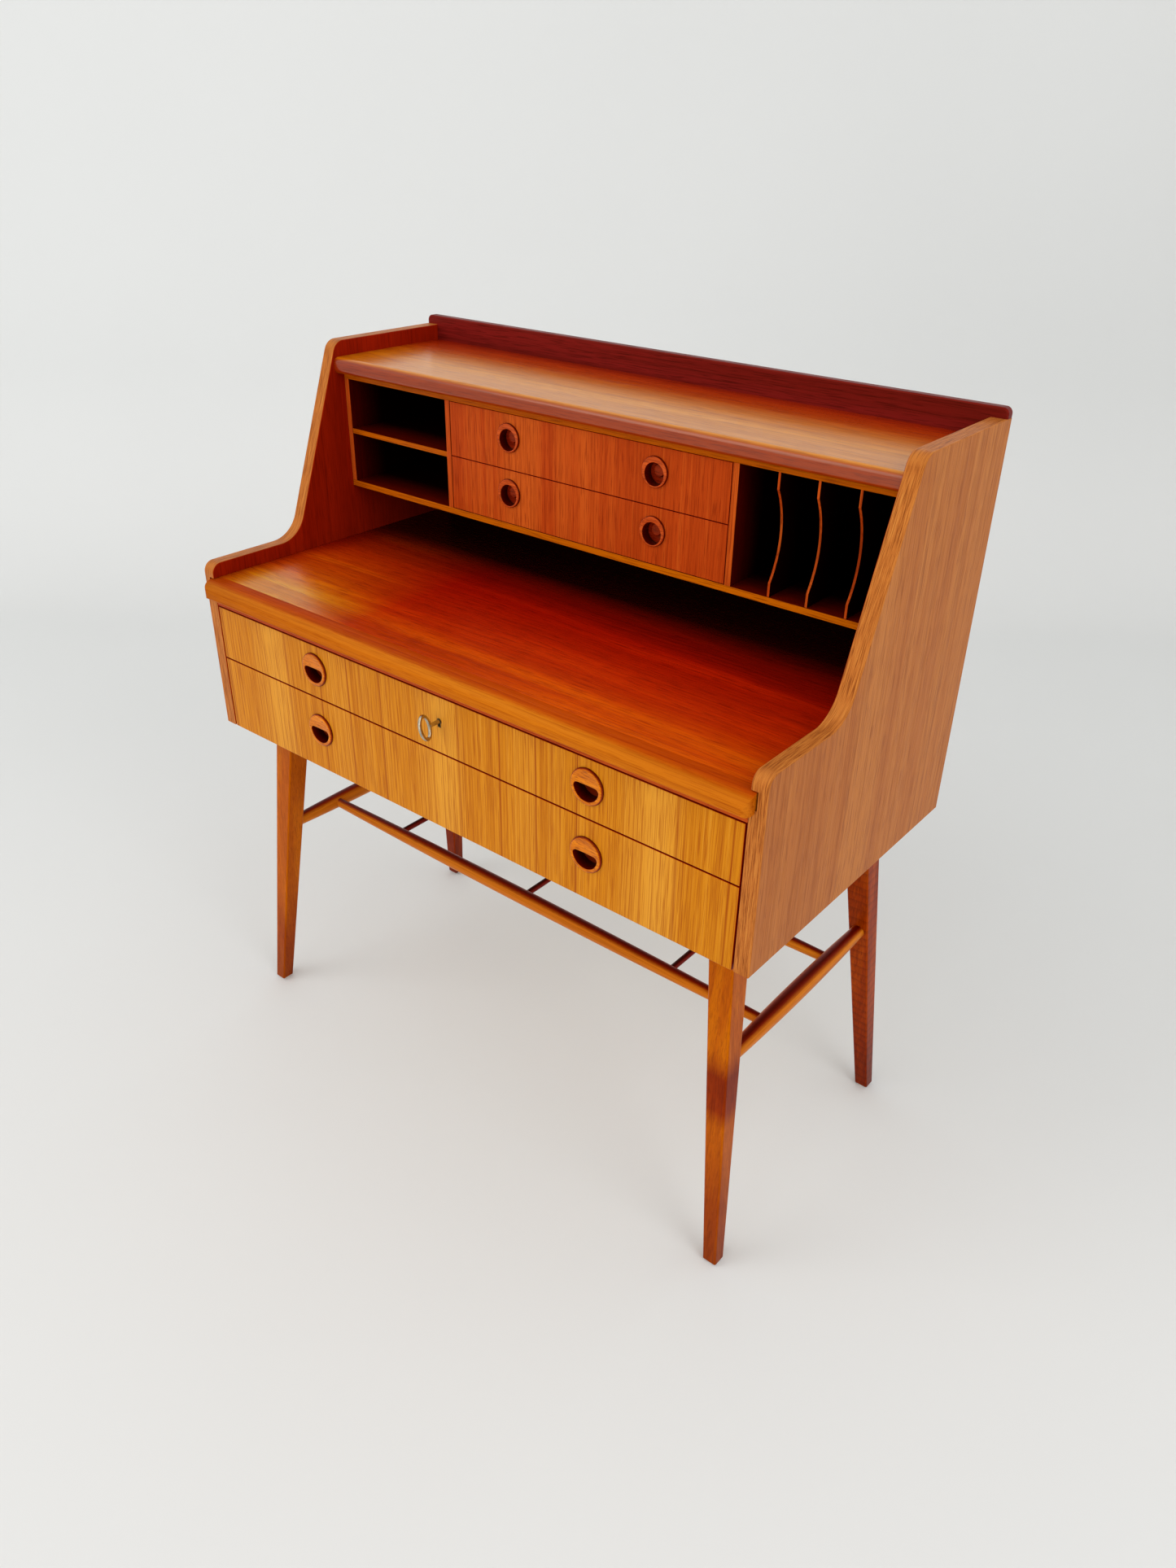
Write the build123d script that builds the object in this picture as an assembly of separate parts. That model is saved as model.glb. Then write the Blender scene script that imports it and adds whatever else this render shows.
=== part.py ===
from build123d import *
import os
from math import radians, tan

# A secretary desk of veneered boards on splayed legs, in millimetres.
# X runs from left to right, Y from front to back and Z up from the floor.
# It is drawn with Y = 0 at the front edge of the side panels. The finished solids are moved
# so that the origin lies on the floor, under the middle of the whole desk.

# Carcass
width = 940.0  # across the outsides of the side panels
depth = 475.0  # front edge of the side panels to their rear edge
leg_height = 503.5  # floor to the underside of the carcass
panel_thickness = 21.0  # side panels
soft_edge = 0.8  # rounding of sanded board edges

# Clearances
running_clearance = 0.3  # between pieces that slide or turn on each other
glue_clearance = 0.1  # around tongues and tenons in their grooves and bores
overshoot = 1.0  # cuts start this far outside the faces they break through

# Heights between the side panels, from the bottom up
bottom_board_thickness = 18.0
lower_front_height = 111.5
upper_front_height = 78.3
front_gap = 1.8  # around the long drawer fronts
rail_height = 17.4
leaf_thickness = 22.0
writing_bay_height = 78.0
insert_board = 9.0  # boards of the compartment cabinet
insert_opening = 149.2  # clear height of its compartments
top_board_thickness = 22.3
panel_rise = 22.0  # side panels above the top board
gallery_rise = 12.5  # gallery rail above the side panels

# Outline of the side panels
lip_rise = 20.5  # low front part above the writing leaf
nose_radius = 15.0  # front end of that lip
lip_hollow_radius = 48.0  # hollow curve between the lip and the slope
panel_top_length = 218.5  # level top edge, back to the rear
slope_lean = 20.66  # degrees from upright
panel_corner_radius = 20.0
panel_edge_radius = 1.6

# Back, rail, top and gallery
back_thickness = 4.0
back_recess = 3.0  # back panel sits this far inside the rear edges
back_rebate = 9.0  # how far the back panel runs into the side panels
rail_setback = 0.5  # front rail behind the front edge of the side panels
rail_depth = 40.0
top_overhang = 17.0  # top board in front of the compartment cabinet
top_nose_radius = 9.0
top_under_radius = 7.0
gallery_thickness = 14.0
gallery_corner_radius = 8.0
gallery_edge_radius = 2.5

# Compartment cabinet
insert_setback = 267.0  # its front behind the front edge of the side panels
drawer_bay_width = 464.0  # between the two dividers
shelf_groove = 3.0  # shelves run this far into their uprights
pigeonhole_shelf_thickness = 7.0
dust_shelf_thickness = 5.0
letter_divider_count = 3
letter_divider_thickness = 3.0
letter_first_slot = 51.4  # clear width beside the right divider
letter_last_slot = 41.5  # clear width beside the right wall
letter_setback = 1.0
letter_groove = 2.5
letter_foot = 17.0  # straight part of the front edge below its hollow
letter_head = 20.0  # straight part above it
letter_hollow = 16.0  # depth of the hollowed front edge

# Writing leaf
leaf_groove_depth = 9.5
leaf_side_play = 2.0  # leaf to the bottom of each groove
leaf_rear_gap = 13.0  # free space behind the closed leaf
leaf_travel = 180.0
nosing_width = 12.0  # nosing behind the front edge of the side panels
nosing_reach = 28.4  # depth of its rounded upper side
nosing_front_height = 9.2  # upright front face
nosing_drop = 3.8  # nosing below the underside of the leaf
nosing_stop_gap = 0.6  # nosing in front of the rail when the leaf is closed
nosing_corner_radius = 10.0
nosing_lower_radius = 3.0
peg_radius = 4.0
peg_drop = 9.0
peg_depth = 10.0
peg_inset = 89.0  # stop pegs from the side panels

# Long drawers
long_front_thickness = 20.0
long_side_thickness = 12.0
long_side_clearance = 1.0  # drawer side to side panel
long_bottom_thickness = 4.0
long_box_head = 12.0  # drawer sides below the top of the front
upper_box_lift = 5.0  # upper box above the lower edge of its front
lower_box_lift = 3.0  # lower box above the bottom board
long_rear_gap = 28.0  # behind the closed drawers
runner_height = 14.0
runner_depth = 7.0
runner_setback = 10.0  # runners behind the drawer fronts
runner_rear_gap = 4.0

# Small drawers
small_front_thickness = 14.0
small_front_gap = 0.8
small_side_thickness = 8.0
small_side_clearance = 0.5
small_bottom_thickness = 3.0
small_box_head = 4.0
small_rear_gap = 24.0

# All drawers
bottom_groove = 4.0
bottom_lift = 6.0  # drawer bottoms above the lower edge of the sides
back_drop = 4.0  # drawer backs below the top of the sides

# Turned pulls with a finger hollow
cup_wall = 2.7
long_hollow_radius = 18.3
long_hollow_head = 2.5  # straight upper edge of the hollow above the middle
long_hollow_corner = 5.0
long_hollow_depth = 13.5
long_lip = 4.5  # wood above the hollow, which the fingers hook behind
long_undercut_step = 0.5  # the round space behind that lip is this much smaller in radius
long_cup_floor = 3.5
long_flange = 3.0
long_rim = 3.0  # radius of the disc's rounded rim
long_proud = 3.6
small_cup_wall = 1.4
small_hollow_radius = 14.3
small_hollow_drop = 2.7
small_hollow_depth = 10.5
small_boss_radius = 8.5  # shallow boss on the floor of the hollow
small_boss = 3.0
small_boss_round = 2.0
small_cup_floor = 1.8
small_flange = 1.1
small_rim = 1.6
small_proud = 3.2
pull_dish = 1.0  # hollowing of the discs' faces
mouth_edge = 0.7
pull_bore_floor = 0.3  # free space behind the cups
long_pull_spread = 239.0
upper_pull_drop = 35.6  # below the top edge of the front
lower_pull_drop = 48.0
small_pull_spread = 121.5
small_pull_drop = 31.2

# Lock and key
key_drop = 33.6  # key axis below the top of the upper front
key_shaft_radius = 2.75
key_stem = 14.0  # shaft in front of the drawer
bow_height = 34.5
bow_reach = 20.0
bow_wire = 4.8  # width of the ring
bow_thickness = 4.0
bow_round = 1.4
bow_turn = 15.0  # degrees that the bow stands turned from the bit
bit_length = 7.0  # from the key's axis
bit_width = 2.6
bit_thickness = 2.2
keyhole_clearance = 0.35
keyhole_slot = 3.0
escutcheon_wall = 1.0
escutcheon_depth = 6.0
escutcheon_proud = 0.4
lock_width = 44.0
lock_depth = 9.0
lock_wall = 1.2
lock_foot = 15.0  # lock case below the key's axis
lock_head_gap = 0.5  # lock case below the top of the front
bolt_width = 22.0
bolt_thickness = 3.0
bolt_foot = 13.0
bolt_head_gap = 1.0
bolt_travel = 7.0
bit_clearance = 0.7
strike_width = 40.0
strike_depth = 16.0
strike_thickness = 1.2
strike_clearance = 0.6
mortise_depth = 9.0

# Legs and stretchers
leg_top_section = 36.8
leg_foot_section = 20.3
leg_top_inset = 50.6  # outer face to the outside of the carcass
leg_foot_inset = 9.1
front_leg_top_inset = 51.5  # front face to the front of the carcass
front_leg_foot_inset = 11.3
rear_leg_top_inset = 63.0  # rear face to the rear of the carcass
rear_leg_foot_inset = 20.8
leg_edge_radius = 2.5
foot_chamfer = 1.6
glide_radius = 8.0
glide_thickness = 2.5
glide_edge = 1.0
leg_bolt_radius = 4.0
leg_bolt_depth = 38.0
leg_bolt_head_radius = 10.0
leg_bolt_head = 4.0
leg_bolt_head_sink = 2.0
stretcher_height = 312.0
side_stretcher_middle = 12.5  # radii of the turned stretchers
side_stretcher_end = 9.5
long_stretcher_middle = 11.5
long_stretcher_end = 7.3
tenon_length = 12.0
front_stretcher_setback = 148.0  # axis behind the front of the carcass
rear_stretcher_inset = 161.0  # axis in front of the rear of the carcass
long_tenon_length = 10.0
rung_radius = 4.5
rung_tenon = 8.0
rung_count = 3
rung_spread = 266.0  # outer rungs from the middle

# Screws of the back panel
screw_columns = 5
screw_margin = 60.0  # outer columns from the side panels
screw_shank_radius = 1.6
screw_length = 18.0
screw_head_radius = 3.6
screw_head = 1.8
screw_dome = 1.0

# Levels that follow from those heights
carcass_bottom = leg_height
bottom_board_top = carcass_bottom + bottom_board_thickness
lower_front_top = carcass_bottom + lower_front_height
upper_front_bottom = lower_front_top + front_gap
upper_front_top = upper_front_bottom + upper_front_height
rail_bottom = upper_front_top + front_gap
rail_top = rail_bottom + rail_height
leaf_bottom = rail_top + running_clearance
leaf_top = leaf_bottom + leaf_thickness
insert_bottom = leaf_top + writing_bay_height
insert_floor = insert_bottom + insert_board
insert_ceiling = insert_floor + insert_opening
insert_top = insert_ceiling + insert_board
top_surface = insert_top + top_board_thickness
panel_top = top_surface + panel_rise
gallery_top = panel_top + gallery_rise
lip_top = leaf_top + lip_rise
key_height = upper_front_top - key_drop

# Places across the width and depth
half_width = width / 2
half_inside = half_width - panel_thickness
back_front = depth - back_recess - back_thickness
back_rear = depth - back_recess
divider_inner = drawer_bay_width / 2
divider_outer = divider_inner + insert_board
wall_inner = half_inside - insert_board
leaf_half_width = half_inside + leaf_groove_depth - leaf_side_play
leaf_rear = back_front - leaf_rear_gap
long_box_rear = back_front - long_rear_gap
small_box_rear = back_front - small_rear_gap
rail_rear = rail_setback + rail_depth
peg_x = half_inside - peg_inset
rear_stretcher_setback = depth - rear_stretcher_inset
long_cup_radius = long_hollow_radius + cup_wall
long_cup_length = long_hollow_depth + long_cup_floor
small_cup_radius = small_hollow_radius + small_hollow_drop + small_cup_wall
small_cup_length = small_hollow_depth + small_cup_floor
key_reach = key_stem + bow_reach
front_plane = (key_reach - depth) / 2
diagonal = 0.5**0.5  # sine of half a right angle, for the middles of quarter arcs


def board(x, y, z):
    """A board given by its span along each axis."""
    middle = Pos((x[0] + x[1]) / 2, (y[0] + y[1]) / 2, (z[0] + z[1]) / 2)
    return middle * Box(x[1] - x[0], y[1] - y[0], z[1] - z[0])


def rod(start, direction, length, radius):
    """A round rod from a point along a direction."""
    base = Plane(origin=start, z_dir=direction)
    return base * Cylinder(radius, length, align=(Align.CENTER, Align.CENTER, Align.MIN))


def mirrored(solid):
    """The same piece for the other side of the desk."""
    return mirror(solid, about=Plane.YZ)


def round_corner(face, corner, radius):
    """Round one corner of a flat outline."""
    return fillet(face.vertices().sort_by_distance(Vector(*corner, 0))[:1], radius)


def soften_front(solid, radius=soft_edge):
    """Round the edges around the front face of a board."""
    return fillet(solid.faces().sort_by(Axis.Y)[0].edges(), radius)


def spread_evenly(first, last, count):
    """Places from the first to the last, at equal distances."""
    step = (last - first) / max(count - 1, 1)
    return [first + index * step for index in range(count)]


def save(node, *shapes):
    """Write one node, moved so that the origin lies under the middle of the desk."""
    solids = [(Pos(0, front_plane, 0) * solid) for shape in shapes for solid in shape.solids()]
    export_step(solids[0] if len(solids) == 1 else Compound(solids), f"parts/{node}.step")


# Side panels
def panel_outline():
    """Stepped outline of a side panel, drawn with Y across and Z up."""
    slope_top = depth - panel_top_length
    slope_foot = slope_top - (panel_top - lip_top) * tan(radians(slope_lean))
    outline = make_face(
        Polyline(
            (0, carcass_bottom),
            (depth, carcass_bottom),
            (depth, panel_top),
            (slope_top, panel_top),
            (slope_foot, lip_top),
            (0, lip_top),
            close=True,
        )
    )
    outline = round_corner(outline, (slope_top, panel_top), panel_corner_radius)
    outline = round_corner(outline, (slope_foot, lip_top), lip_hollow_radius)
    return round_corner(outline, (0, lip_top), nose_radius)


def right_panel():
    """Right side panel with the leaf's groove and the back panel's rebate."""
    panel = Pos(half_inside, 0, 0) * extrude(Plane.YZ * panel_outline(), panel_thickness)
    panel = fillet(panel.faces().filter_by(Axis.X).edges(), panel_edge_radius)
    groove_bottom = half_inside + leaf_groove_depth
    panel -= board(
        (half_inside - overshoot, groove_bottom),
        (-overshoot, leaf_rear + running_clearance),
        (leaf_bottom - running_clearance, leaf_top + running_clearance),
    )
    panel -= board(
        (half_inside - overshoot, half_inside + back_rebate),
        (back_front, depth + overshoot),
        (carcass_bottom - overshoot, top_surface),
    )
    return panel


# Boards between the side panels
def screw_places():
    """Middle of each back panel screw, in two rows."""
    edge = half_inside - screw_margin
    rows = (carcass_bottom + bottom_board_thickness / 2, top_surface - top_board_thickness / 2)
    return [(x, row) for row in rows for x in spread_evenly(-edge, edge, screw_columns)]


def drill_screws(solid):
    """Holes for the back panel screws."""
    for x, z in screw_places():
        hole_start = (x, back_rear - screw_length - glue_clearance, z)
        solid -= rod(hole_start, (0, 1, 0), screw_length + overshoot, screw_shank_radius + glue_clearance)
    return solid


def back_screws():
    """Round-headed screws through the back panel."""
    screws = []
    for x, z in screw_places():
        shank = rod((x, back_rear - screw_length, z), (0, 1, 0), screw_length, screw_shank_radius)
        head = rod((x, back_rear, z), (0, 1, 0), screw_head, screw_head_radius)
        head = fillet(head.edges().sort_by(Axis.Y)[-1], screw_dome)
        screws.append(shank + head)
    return screws


def top_board():
    """Shelf on top, with a rounded nosing along its front."""
    front = insert_setback - top_overhang
    top = board((-half_inside, half_inside), (front, back_front), (insert_top, top_surface))
    nose = top.edges().filter_by(Axis.X).sort_by(Axis.Y)[:2].sort_by(Axis.Z)
    top = fillet(nose[1], top_nose_radius)
    under = top.edges().filter_by(Axis.X).sort_by_distance(Vector(0, front, insert_top))[0]
    return drill_screws(fillet(under, top_under_radius))


def gallery_rail():
    """Rail across the rear of the top, lying on both side panels."""
    rail = make_face(
        Polyline(
            (-half_inside, top_surface),
            (half_inside, top_surface),
            (half_inside, panel_top),
            (half_width, panel_top),
            (half_width, gallery_top),
            (-half_width, gallery_top),
            (-half_width, panel_top),
            (-half_inside, panel_top),
            close=True,
        )
    )
    for side in (-half_width, half_width):
        rail = round_corner(rail, (side, gallery_top), gallery_corner_radius)
    rail = extrude(Plane((0, depth, 0), x_dir=(1, 0, 0), z_dir=(0, -1, 0)) * rail, gallery_thickness)
    outlines = rail.faces().filter_by(Axis.Y).edges()
    upper = [edge for edge in outlines if edge.center().Z > panel_top + gallery_edge_radius]
    return fillet(upper, gallery_edge_radius)


def bottom_board():
    """Board under the drawers, drilled for the leg bolts and the back's screws."""
    front = long_front_thickness + running_clearance
    bottom = board(
        (-half_inside, half_inside), (front, back_front), (carcass_bottom, bottom_board_top)
    )
    for side in (-1, 1):
        for end in (-1, 1):
            x, y = leg_centre(side, end, carcass_bottom)
            shank_start = (x, y, carcass_bottom - overshoot)
            bottom -= rod(shank_start, (0, 0, 1), leg_height, leg_bolt_radius + glue_clearance)
            head_start = (x, y, bottom_board_top - leg_bolt_head - leg_bolt_head_sink)
            bottom -= rod(head_start, (0, 0, 1), leg_height, leg_bolt_head_radius + glue_clearance)
    return drill_screws(bottom)


def bolt_place():
    """Front and rear of the lock bolt."""
    middle = long_front_thickness + lock_depth / 2
    return (middle - bolt_thickness / 2, middle + bolt_thickness / 2)


def bolt_pocket(z):
    """Space that the raised bolt enters, over a given height."""
    front, rear = bolt_place()
    half = bolt_width / 2 + strike_clearance
    return board((-half, half), (front - strike_clearance, rear + strike_clearance), z)


def strike_outline(clearance, top):
    """Plate around the bolt's mouth in the front rail."""
    middle = sum(bolt_place()) / 2
    half = strike_width / 2 + clearance
    reach = strike_depth / 2 + clearance
    return board((-half, half), (middle - reach, middle + reach), (rail_bottom, rail_bottom + top))


def front_rail():
    """Rail between the drawers and the leaf, mortised for the lock bolt."""
    rail = board((-half_inside, half_inside), (rail_setback, rail_rear), (rail_bottom, rail_top))
    rail -= strike_outline(glue_clearance, strike_thickness)
    return rail - bolt_pocket((rail_bottom - overshoot, rail_bottom + mortise_depth))


def strike_plate():
    """Plate let into the underside of the front rail."""
    return strike_outline(0, strike_thickness) - bolt_pocket((rail_bottom - overshoot, rail_top))


# Compartment cabinet
def letter_places():
    """Middle of each letter divider."""
    first = divider_outer + letter_first_slot + letter_divider_thickness / 2
    last = wall_inner - letter_last_slot - letter_divider_thickness / 2
    return spread_evenly(first, last, letter_divider_count)


def letter_divider(x):
    """Thin divider whose front edge is hollowed."""
    front = insert_setback + letter_setback
    low = insert_floor - letter_groove + glue_clearance
    high = insert_ceiling + letter_groove - glue_clearance
    hollow_low = insert_floor + letter_foot
    hollow_high = insert_ceiling - letter_head
    middle = (hollow_low + hollow_high) / 2
    hollow = ThreePointArc((front, hollow_low), (front + letter_hollow, middle), (front, hollow_high))
    rest = Polyline(
        (front, hollow_high),
        (front, high),
        (back_front, high),
        (back_front, low),
        (front, low),
        (front, hollow_low),
    )
    outline = Plane.YZ * make_face([hollow, rest])
    return Pos(x - letter_divider_thickness / 2, 0, 0) * extrude(outline, letter_divider_thickness)


def cut_letter_grooves(solid, z):
    """Grooves that hold the letter dividers in the boards above and below."""
    half = letter_divider_thickness / 2 + glue_clearance
    for x in letter_places():
        solid -= board((x - half, x + half), (insert_setback + letter_setback, back_front), z)
    return solid


def insert_floor_board():
    """Lower board of the cabinet."""
    floor = board(
        (-half_inside, half_inside), (insert_setback, back_front), (insert_bottom, insert_floor)
    )
    return cut_letter_grooves(soften_front(floor), (insert_floor - letter_groove, insert_floor))


def insert_ceiling_board():
    """Upper board of the cabinet."""
    ceiling = board(
        (-half_inside, half_inside), (insert_setback, back_front), (insert_ceiling, insert_top)
    )
    return cut_letter_grooves(soften_front(ceiling), (insert_ceiling, insert_ceiling + letter_groove))


def insert_upright(x):
    """Wall or divider of the cabinet, between its two boards."""
    upright = board(x, (insert_setback, back_front), (insert_floor, insert_ceiling))
    return fillet(upright.faces().sort_by(Axis.Y)[0].edges().filter_by(Axis.Z), soft_edge)


def shelf_spans(left, right, thickness):
    """Span across the opening and height of a shelf that is let into two uprights."""
    middle = (insert_floor + insert_ceiling) / 2
    across = (left - shelf_groove, right + shelf_groove)
    return across, (middle - thickness / 2, middle + thickness / 2)


def shelf(left, right, front, thickness):
    """Shelf half way up an opening."""
    across, height = shelf_spans(left, right, thickness)
    across = (across[0] + glue_clearance, across[1] - glue_clearance)
    return board(across, (front, back_front), height)


def shelf_groove_cut(left, right, front, thickness):
    """Grooves of that shelf in the uprights beside it."""
    across, height = shelf_spans(left, right, thickness)
    height = (height[0] - glue_clearance, height[1] + glue_clearance)
    return board(across, (front - glue_clearance, back_front), height)


pigeonhole = (-wall_inner, -divider_outer, insert_setback + soft_edge, pigeonhole_shelf_thickness)
dust_shelf_front = insert_setback + small_front_thickness + running_clearance
drawer_bay = (-divider_inner, divider_inner, dust_shelf_front, dust_shelf_thickness)


# Drawers
def disc_profile(cup_radius, flange, rim_radius, proud, cup_length):
    """Half section of a turned pull: dished disc in front, cup behind."""
    disc_radius = cup_radius + flange
    rim_crest = disc_radius - rim_radius
    sphere = (rim_crest**2 + pull_dish**2) / (2 * pull_dish)
    half_way = sphere - (sphere**2 - rim_crest**2 / 4) ** 0.5
    face = ThreePointArc(
        (0, pull_dish - proud), (rim_crest / 2, pull_dish - half_way - proud), (rim_crest, -proud)
    )
    turn = rim_radius * diagonal
    rim_low = rim_radius - proud
    rim = ThreePointArc((rim_crest, -proud), (rim_crest + turn, rim_low - turn), (disc_radius, rim_low))
    rest = Polyline(
        (disc_radius, rim_low),
        (disc_radius, 0),
        (cup_radius, 0),
        (cup_radius, cup_length),
        (0, cup_length),
        (0, pull_dish - proud),
    )
    return make_face([face, rim, rest])


def turned_disc(profile):
    """Pull before its hollow is cut, turned with its seam at the top."""
    return Rot(0, -90, 0) * revolve(profile, Axis.Y)


def soften_mouth(pull, hollow_radius):
    """Round the edge where a finger hollow breaks through the face of a pull."""
    face = [edge for edge in pull.edges() if edge.center().Y < 0]
    widest = 2 * hollow_radius + mouth_edge
    mouth = [edge for edge in face if mouth_edge < edge.bounding_box().size.X < widest]
    return fillet(mouth, mouth_edge)


def long_pull():
    """Pull of a long drawer: the lower half of the disc is a finger hollow."""
    profile = disc_profile(long_cup_radius, long_flange, long_rim, long_proud, long_cup_length)
    pull = turned_disc(profile)
    mouth = Circle(long_hollow_radius)
    mouth -= Pos(0, long_hollow_head + long_hollow_radius) * Rectangle(
        4 * long_hollow_radius, 2 * long_hollow_radius
    )
    mouth = fillet(mouth.vertices(), long_hollow_corner)
    floor = Plane((0, long_hollow_depth, 0), x_dir=(1, 0, 0), z_dir=(0, -1, 0))
    pull -= extrude(floor * mouth, long_hollow_depth + 2 * long_proud)
    pull = soften_mouth(pull, long_hollow_radius)
    undercut_radius = long_hollow_radius - long_undercut_step
    return pull - rod((0, long_lip, 0), (0, 1, 0), long_hollow_depth - long_lip, undercut_radius)


def small_pull():
    """Pull of a small drawer: a round finger hollow set a little low in the disc."""
    profile = disc_profile(small_cup_radius, small_flange, small_rim, small_proud, small_cup_length)
    pull = turned_disc(profile)
    floor = (0, small_hollow_depth, -small_hollow_drop)
    pull -= rod(floor, (0, -1, 0), small_hollow_depth + 2 * small_proud, small_hollow_radius)
    boss = rod((0, small_hollow_depth, 0), (0, -1, 0), small_boss, small_boss_radius)
    boss = fillet(boss.edges().sort_by(Axis.Y)[0], small_boss_round)
    return soften_mouth(pull, small_hollow_radius) + boss


def drawer(name, front_x, front_y, front_z, front_thickness, box_x, box_z, side_thickness, box_rear,
           bottom_thickness, pull, pull_places, cup_radius, cup_length, front_cuts=(), runner_z=None):
    """One drawer: front, two sides, back, bottom and pulls, each in its own node."""
    front_back = front_y + front_thickness
    inner = box_x - side_thickness
    bottom_z = (box_z[0] + bottom_lift, box_z[0] + bottom_lift + bottom_thickness)
    groove_z = (bottom_z[0] - glue_clearance, bottom_z[1] + glue_clearance)
    groove_x = inner + bottom_groove
    panel_groove = board((-groove_x, groove_x), (front_back - bottom_groove, box_rear + overshoot), groove_z)

    front = soften_front(board((-front_x, front_x), (front_y, front_back), front_z))
    for x, z in pull_places:
        bore = cup_length + pull_bore_floor + overshoot
        front -= rod((x, front_y - overshoot, z), (0, 1, 0), bore, cup_radius + glue_clearance)
    front -= panel_groove
    for cut in front_cuts:
        front -= cut
    save(f"{name}_front", front)

    side = board((inner, box_x), (front_back, box_rear), box_z) - panel_groove
    if runner_z:
        stop = front_back + runner_setback - running_clearance
        slot_z = (runner_z[0] - running_clearance, runner_z[1] + running_clearance)
        slot_x = half_inside - runner_depth - running_clearance
        side -= board((slot_x, box_x + overshoot), (stop, box_rear + overshoot), slot_z)
    save(f"{name}_sides", mirrored(side), side)

    back_z = (bottom_z[1], box_z[1] - back_drop)
    save(f"{name}_back", board((-inner, inner), (box_rear - side_thickness, box_rear), back_z))
    bottom_x = groove_x - glue_clearance
    bottom_front = front_back - bottom_groove + glue_clearance
    save(f"{name}_bottom", board((-bottom_x, bottom_x), (bottom_front, box_rear), bottom_z))
    save(f"{name}_pulls", *[Pos(x, front_y, z) * pull for x, z in pull_places])


def runner_span(box_z):
    """Height of the runners beside a long drawer."""
    middle = (box_z[0] + box_z[1]) / 2
    return (middle - runner_height / 2, middle + runner_height / 2)


def runner(runner_z):
    """Strip on the right side panel that carries a long drawer."""
    front = long_front_thickness + runner_setback
    return board((half_inside - runner_depth, half_inside), (front, back_front - runner_rear_gap), runner_z)


# Lock
def keyhole(radius, slot, drop, y):
    """Round hole with a slot below it, along the depth of a piece."""
    hole = rod((0, y[0], key_height), (0, 1, 0), y[1] - y[0], radius)
    return hole + board((-slot / 2, slot / 2), y, (key_height - drop, key_height))


hole_radius = key_shaft_radius + keyhole_clearance
hole_drop = bit_length + keyhole_clearance
escutcheon_slot = keyhole_slot + 2 * escutcheon_wall
escutcheon_hole = (hole_radius + escutcheon_wall, escutcheon_slot, hole_drop + escutcheon_wall)


def escutcheon():
    """Metal liner of the keyhole."""
    outside = keyhole(*escutcheon_hole, (-escutcheon_proud, escutcheon_depth))
    return outside - keyhole(hole_radius, keyhole_slot, hole_drop, (-overshoot, escutcheon_depth + overshoot))


def keyhole_cuts():
    """Keyhole through the upper drawer front, wider where the liner sits."""
    radius, slot, drop = (size + glue_clearance for size in escutcheon_hole)
    seat = keyhole(radius, slot + glue_clearance, drop, (-overshoot, escutcheon_depth))
    through = (-overshoot, long_front_thickness + overshoot)
    return (seat, keyhole(hole_radius, keyhole_slot, hole_drop, through))


def lock_case():
    """Lock case on the back of the upper drawer front, open for the key and the bolt."""
    half = lock_width / 2
    front = long_front_thickness
    rear = front + lock_depth
    low = key_height - lock_foot
    high = upper_front_top - lock_head_gap
    case = board((-half, half), (front, rear), (low, high))
    case -= board(
        (lock_wall - half, half - lock_wall),
        (front + lock_wall, rear - lock_wall),
        (low + lock_wall, high - lock_wall),
    )
    case -= keyhole(hole_radius, keyhole_slot, hole_drop, (front - overshoot, front + lock_wall + overshoot))
    case -= rod((0, front, key_height), (0, 1, 0), lock_depth + overshoot, hole_radius)
    bolt_front, bolt_rear = bolt_place()
    slot = bolt_width / 2 + running_clearance
    mouth_y = (bolt_front - running_clearance, bolt_rear + running_clearance)
    return case - board((-slot, slot), mouth_y, (high - lock_wall - overshoot, high + overshoot))


def lock_bolt():
    """Sliding bolt with a window in which the key's bit turns."""
    half = bolt_width / 2
    high = upper_front_top - bolt_head_gap
    bolt = board((-half, half), bolt_place(), (key_height - bolt_foot, high))
    shaft_side = key_shaft_radius + bit_clearance
    window_low = key_height - shaft_side - bolt_travel
    window = board(
        (-shaft_side, bit_length + bit_clearance), (0, depth), (window_low, key_height + shaft_side)
    )
    return bolt - window


def key():
    """Key with an oval bow in front and its bit inside the lock."""
    bow_middle = -key_stem - bow_reach / 2
    outer = Ellipse(bow_reach / 2, bow_height / 2)
    ring = outer - Ellipse(bow_reach / 2 - bow_wire, bow_height / 2 - bow_wire)
    plane = Plane((-bow_thickness / 2, bow_middle, 0), x_dir=(0, 1, 0), z_dir=(1, 0, 0))
    bow = fillet(extrude(plane * ring, bow_thickness).edges(), bow_round)
    bow = Pos(0, 0, key_height) * Rot(0, -bow_turn, 0) * bow
    shaft_start = -key_stem - bow_wire / 2
    shaft_end = long_front_thickness + lock_depth
    shaft = rod((0, shaft_start, key_height), (0, 1, 0), shaft_end - shaft_start, key_shaft_radius)
    bit_middle = sum(bolt_place()) / 2
    bit = board(
        (-bit_thickness / 2, bit_thickness / 2),
        (bit_middle - bit_width / 2, bit_middle + bit_width / 2),
        (key_height - bit_length, key_height),
    )
    return bow + shaft + bit


# Legs and stretchers
def between(top, foot, z):
    """A leg size at a height, straight from the foot to the top."""
    share = (z - glide_thickness) / (carcass_bottom - glide_thickness)
    return foot + (top - foot) * share


def leg_section(z):
    """Width of a leg at a height."""
    return between(leg_top_section, leg_foot_section, z)


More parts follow.
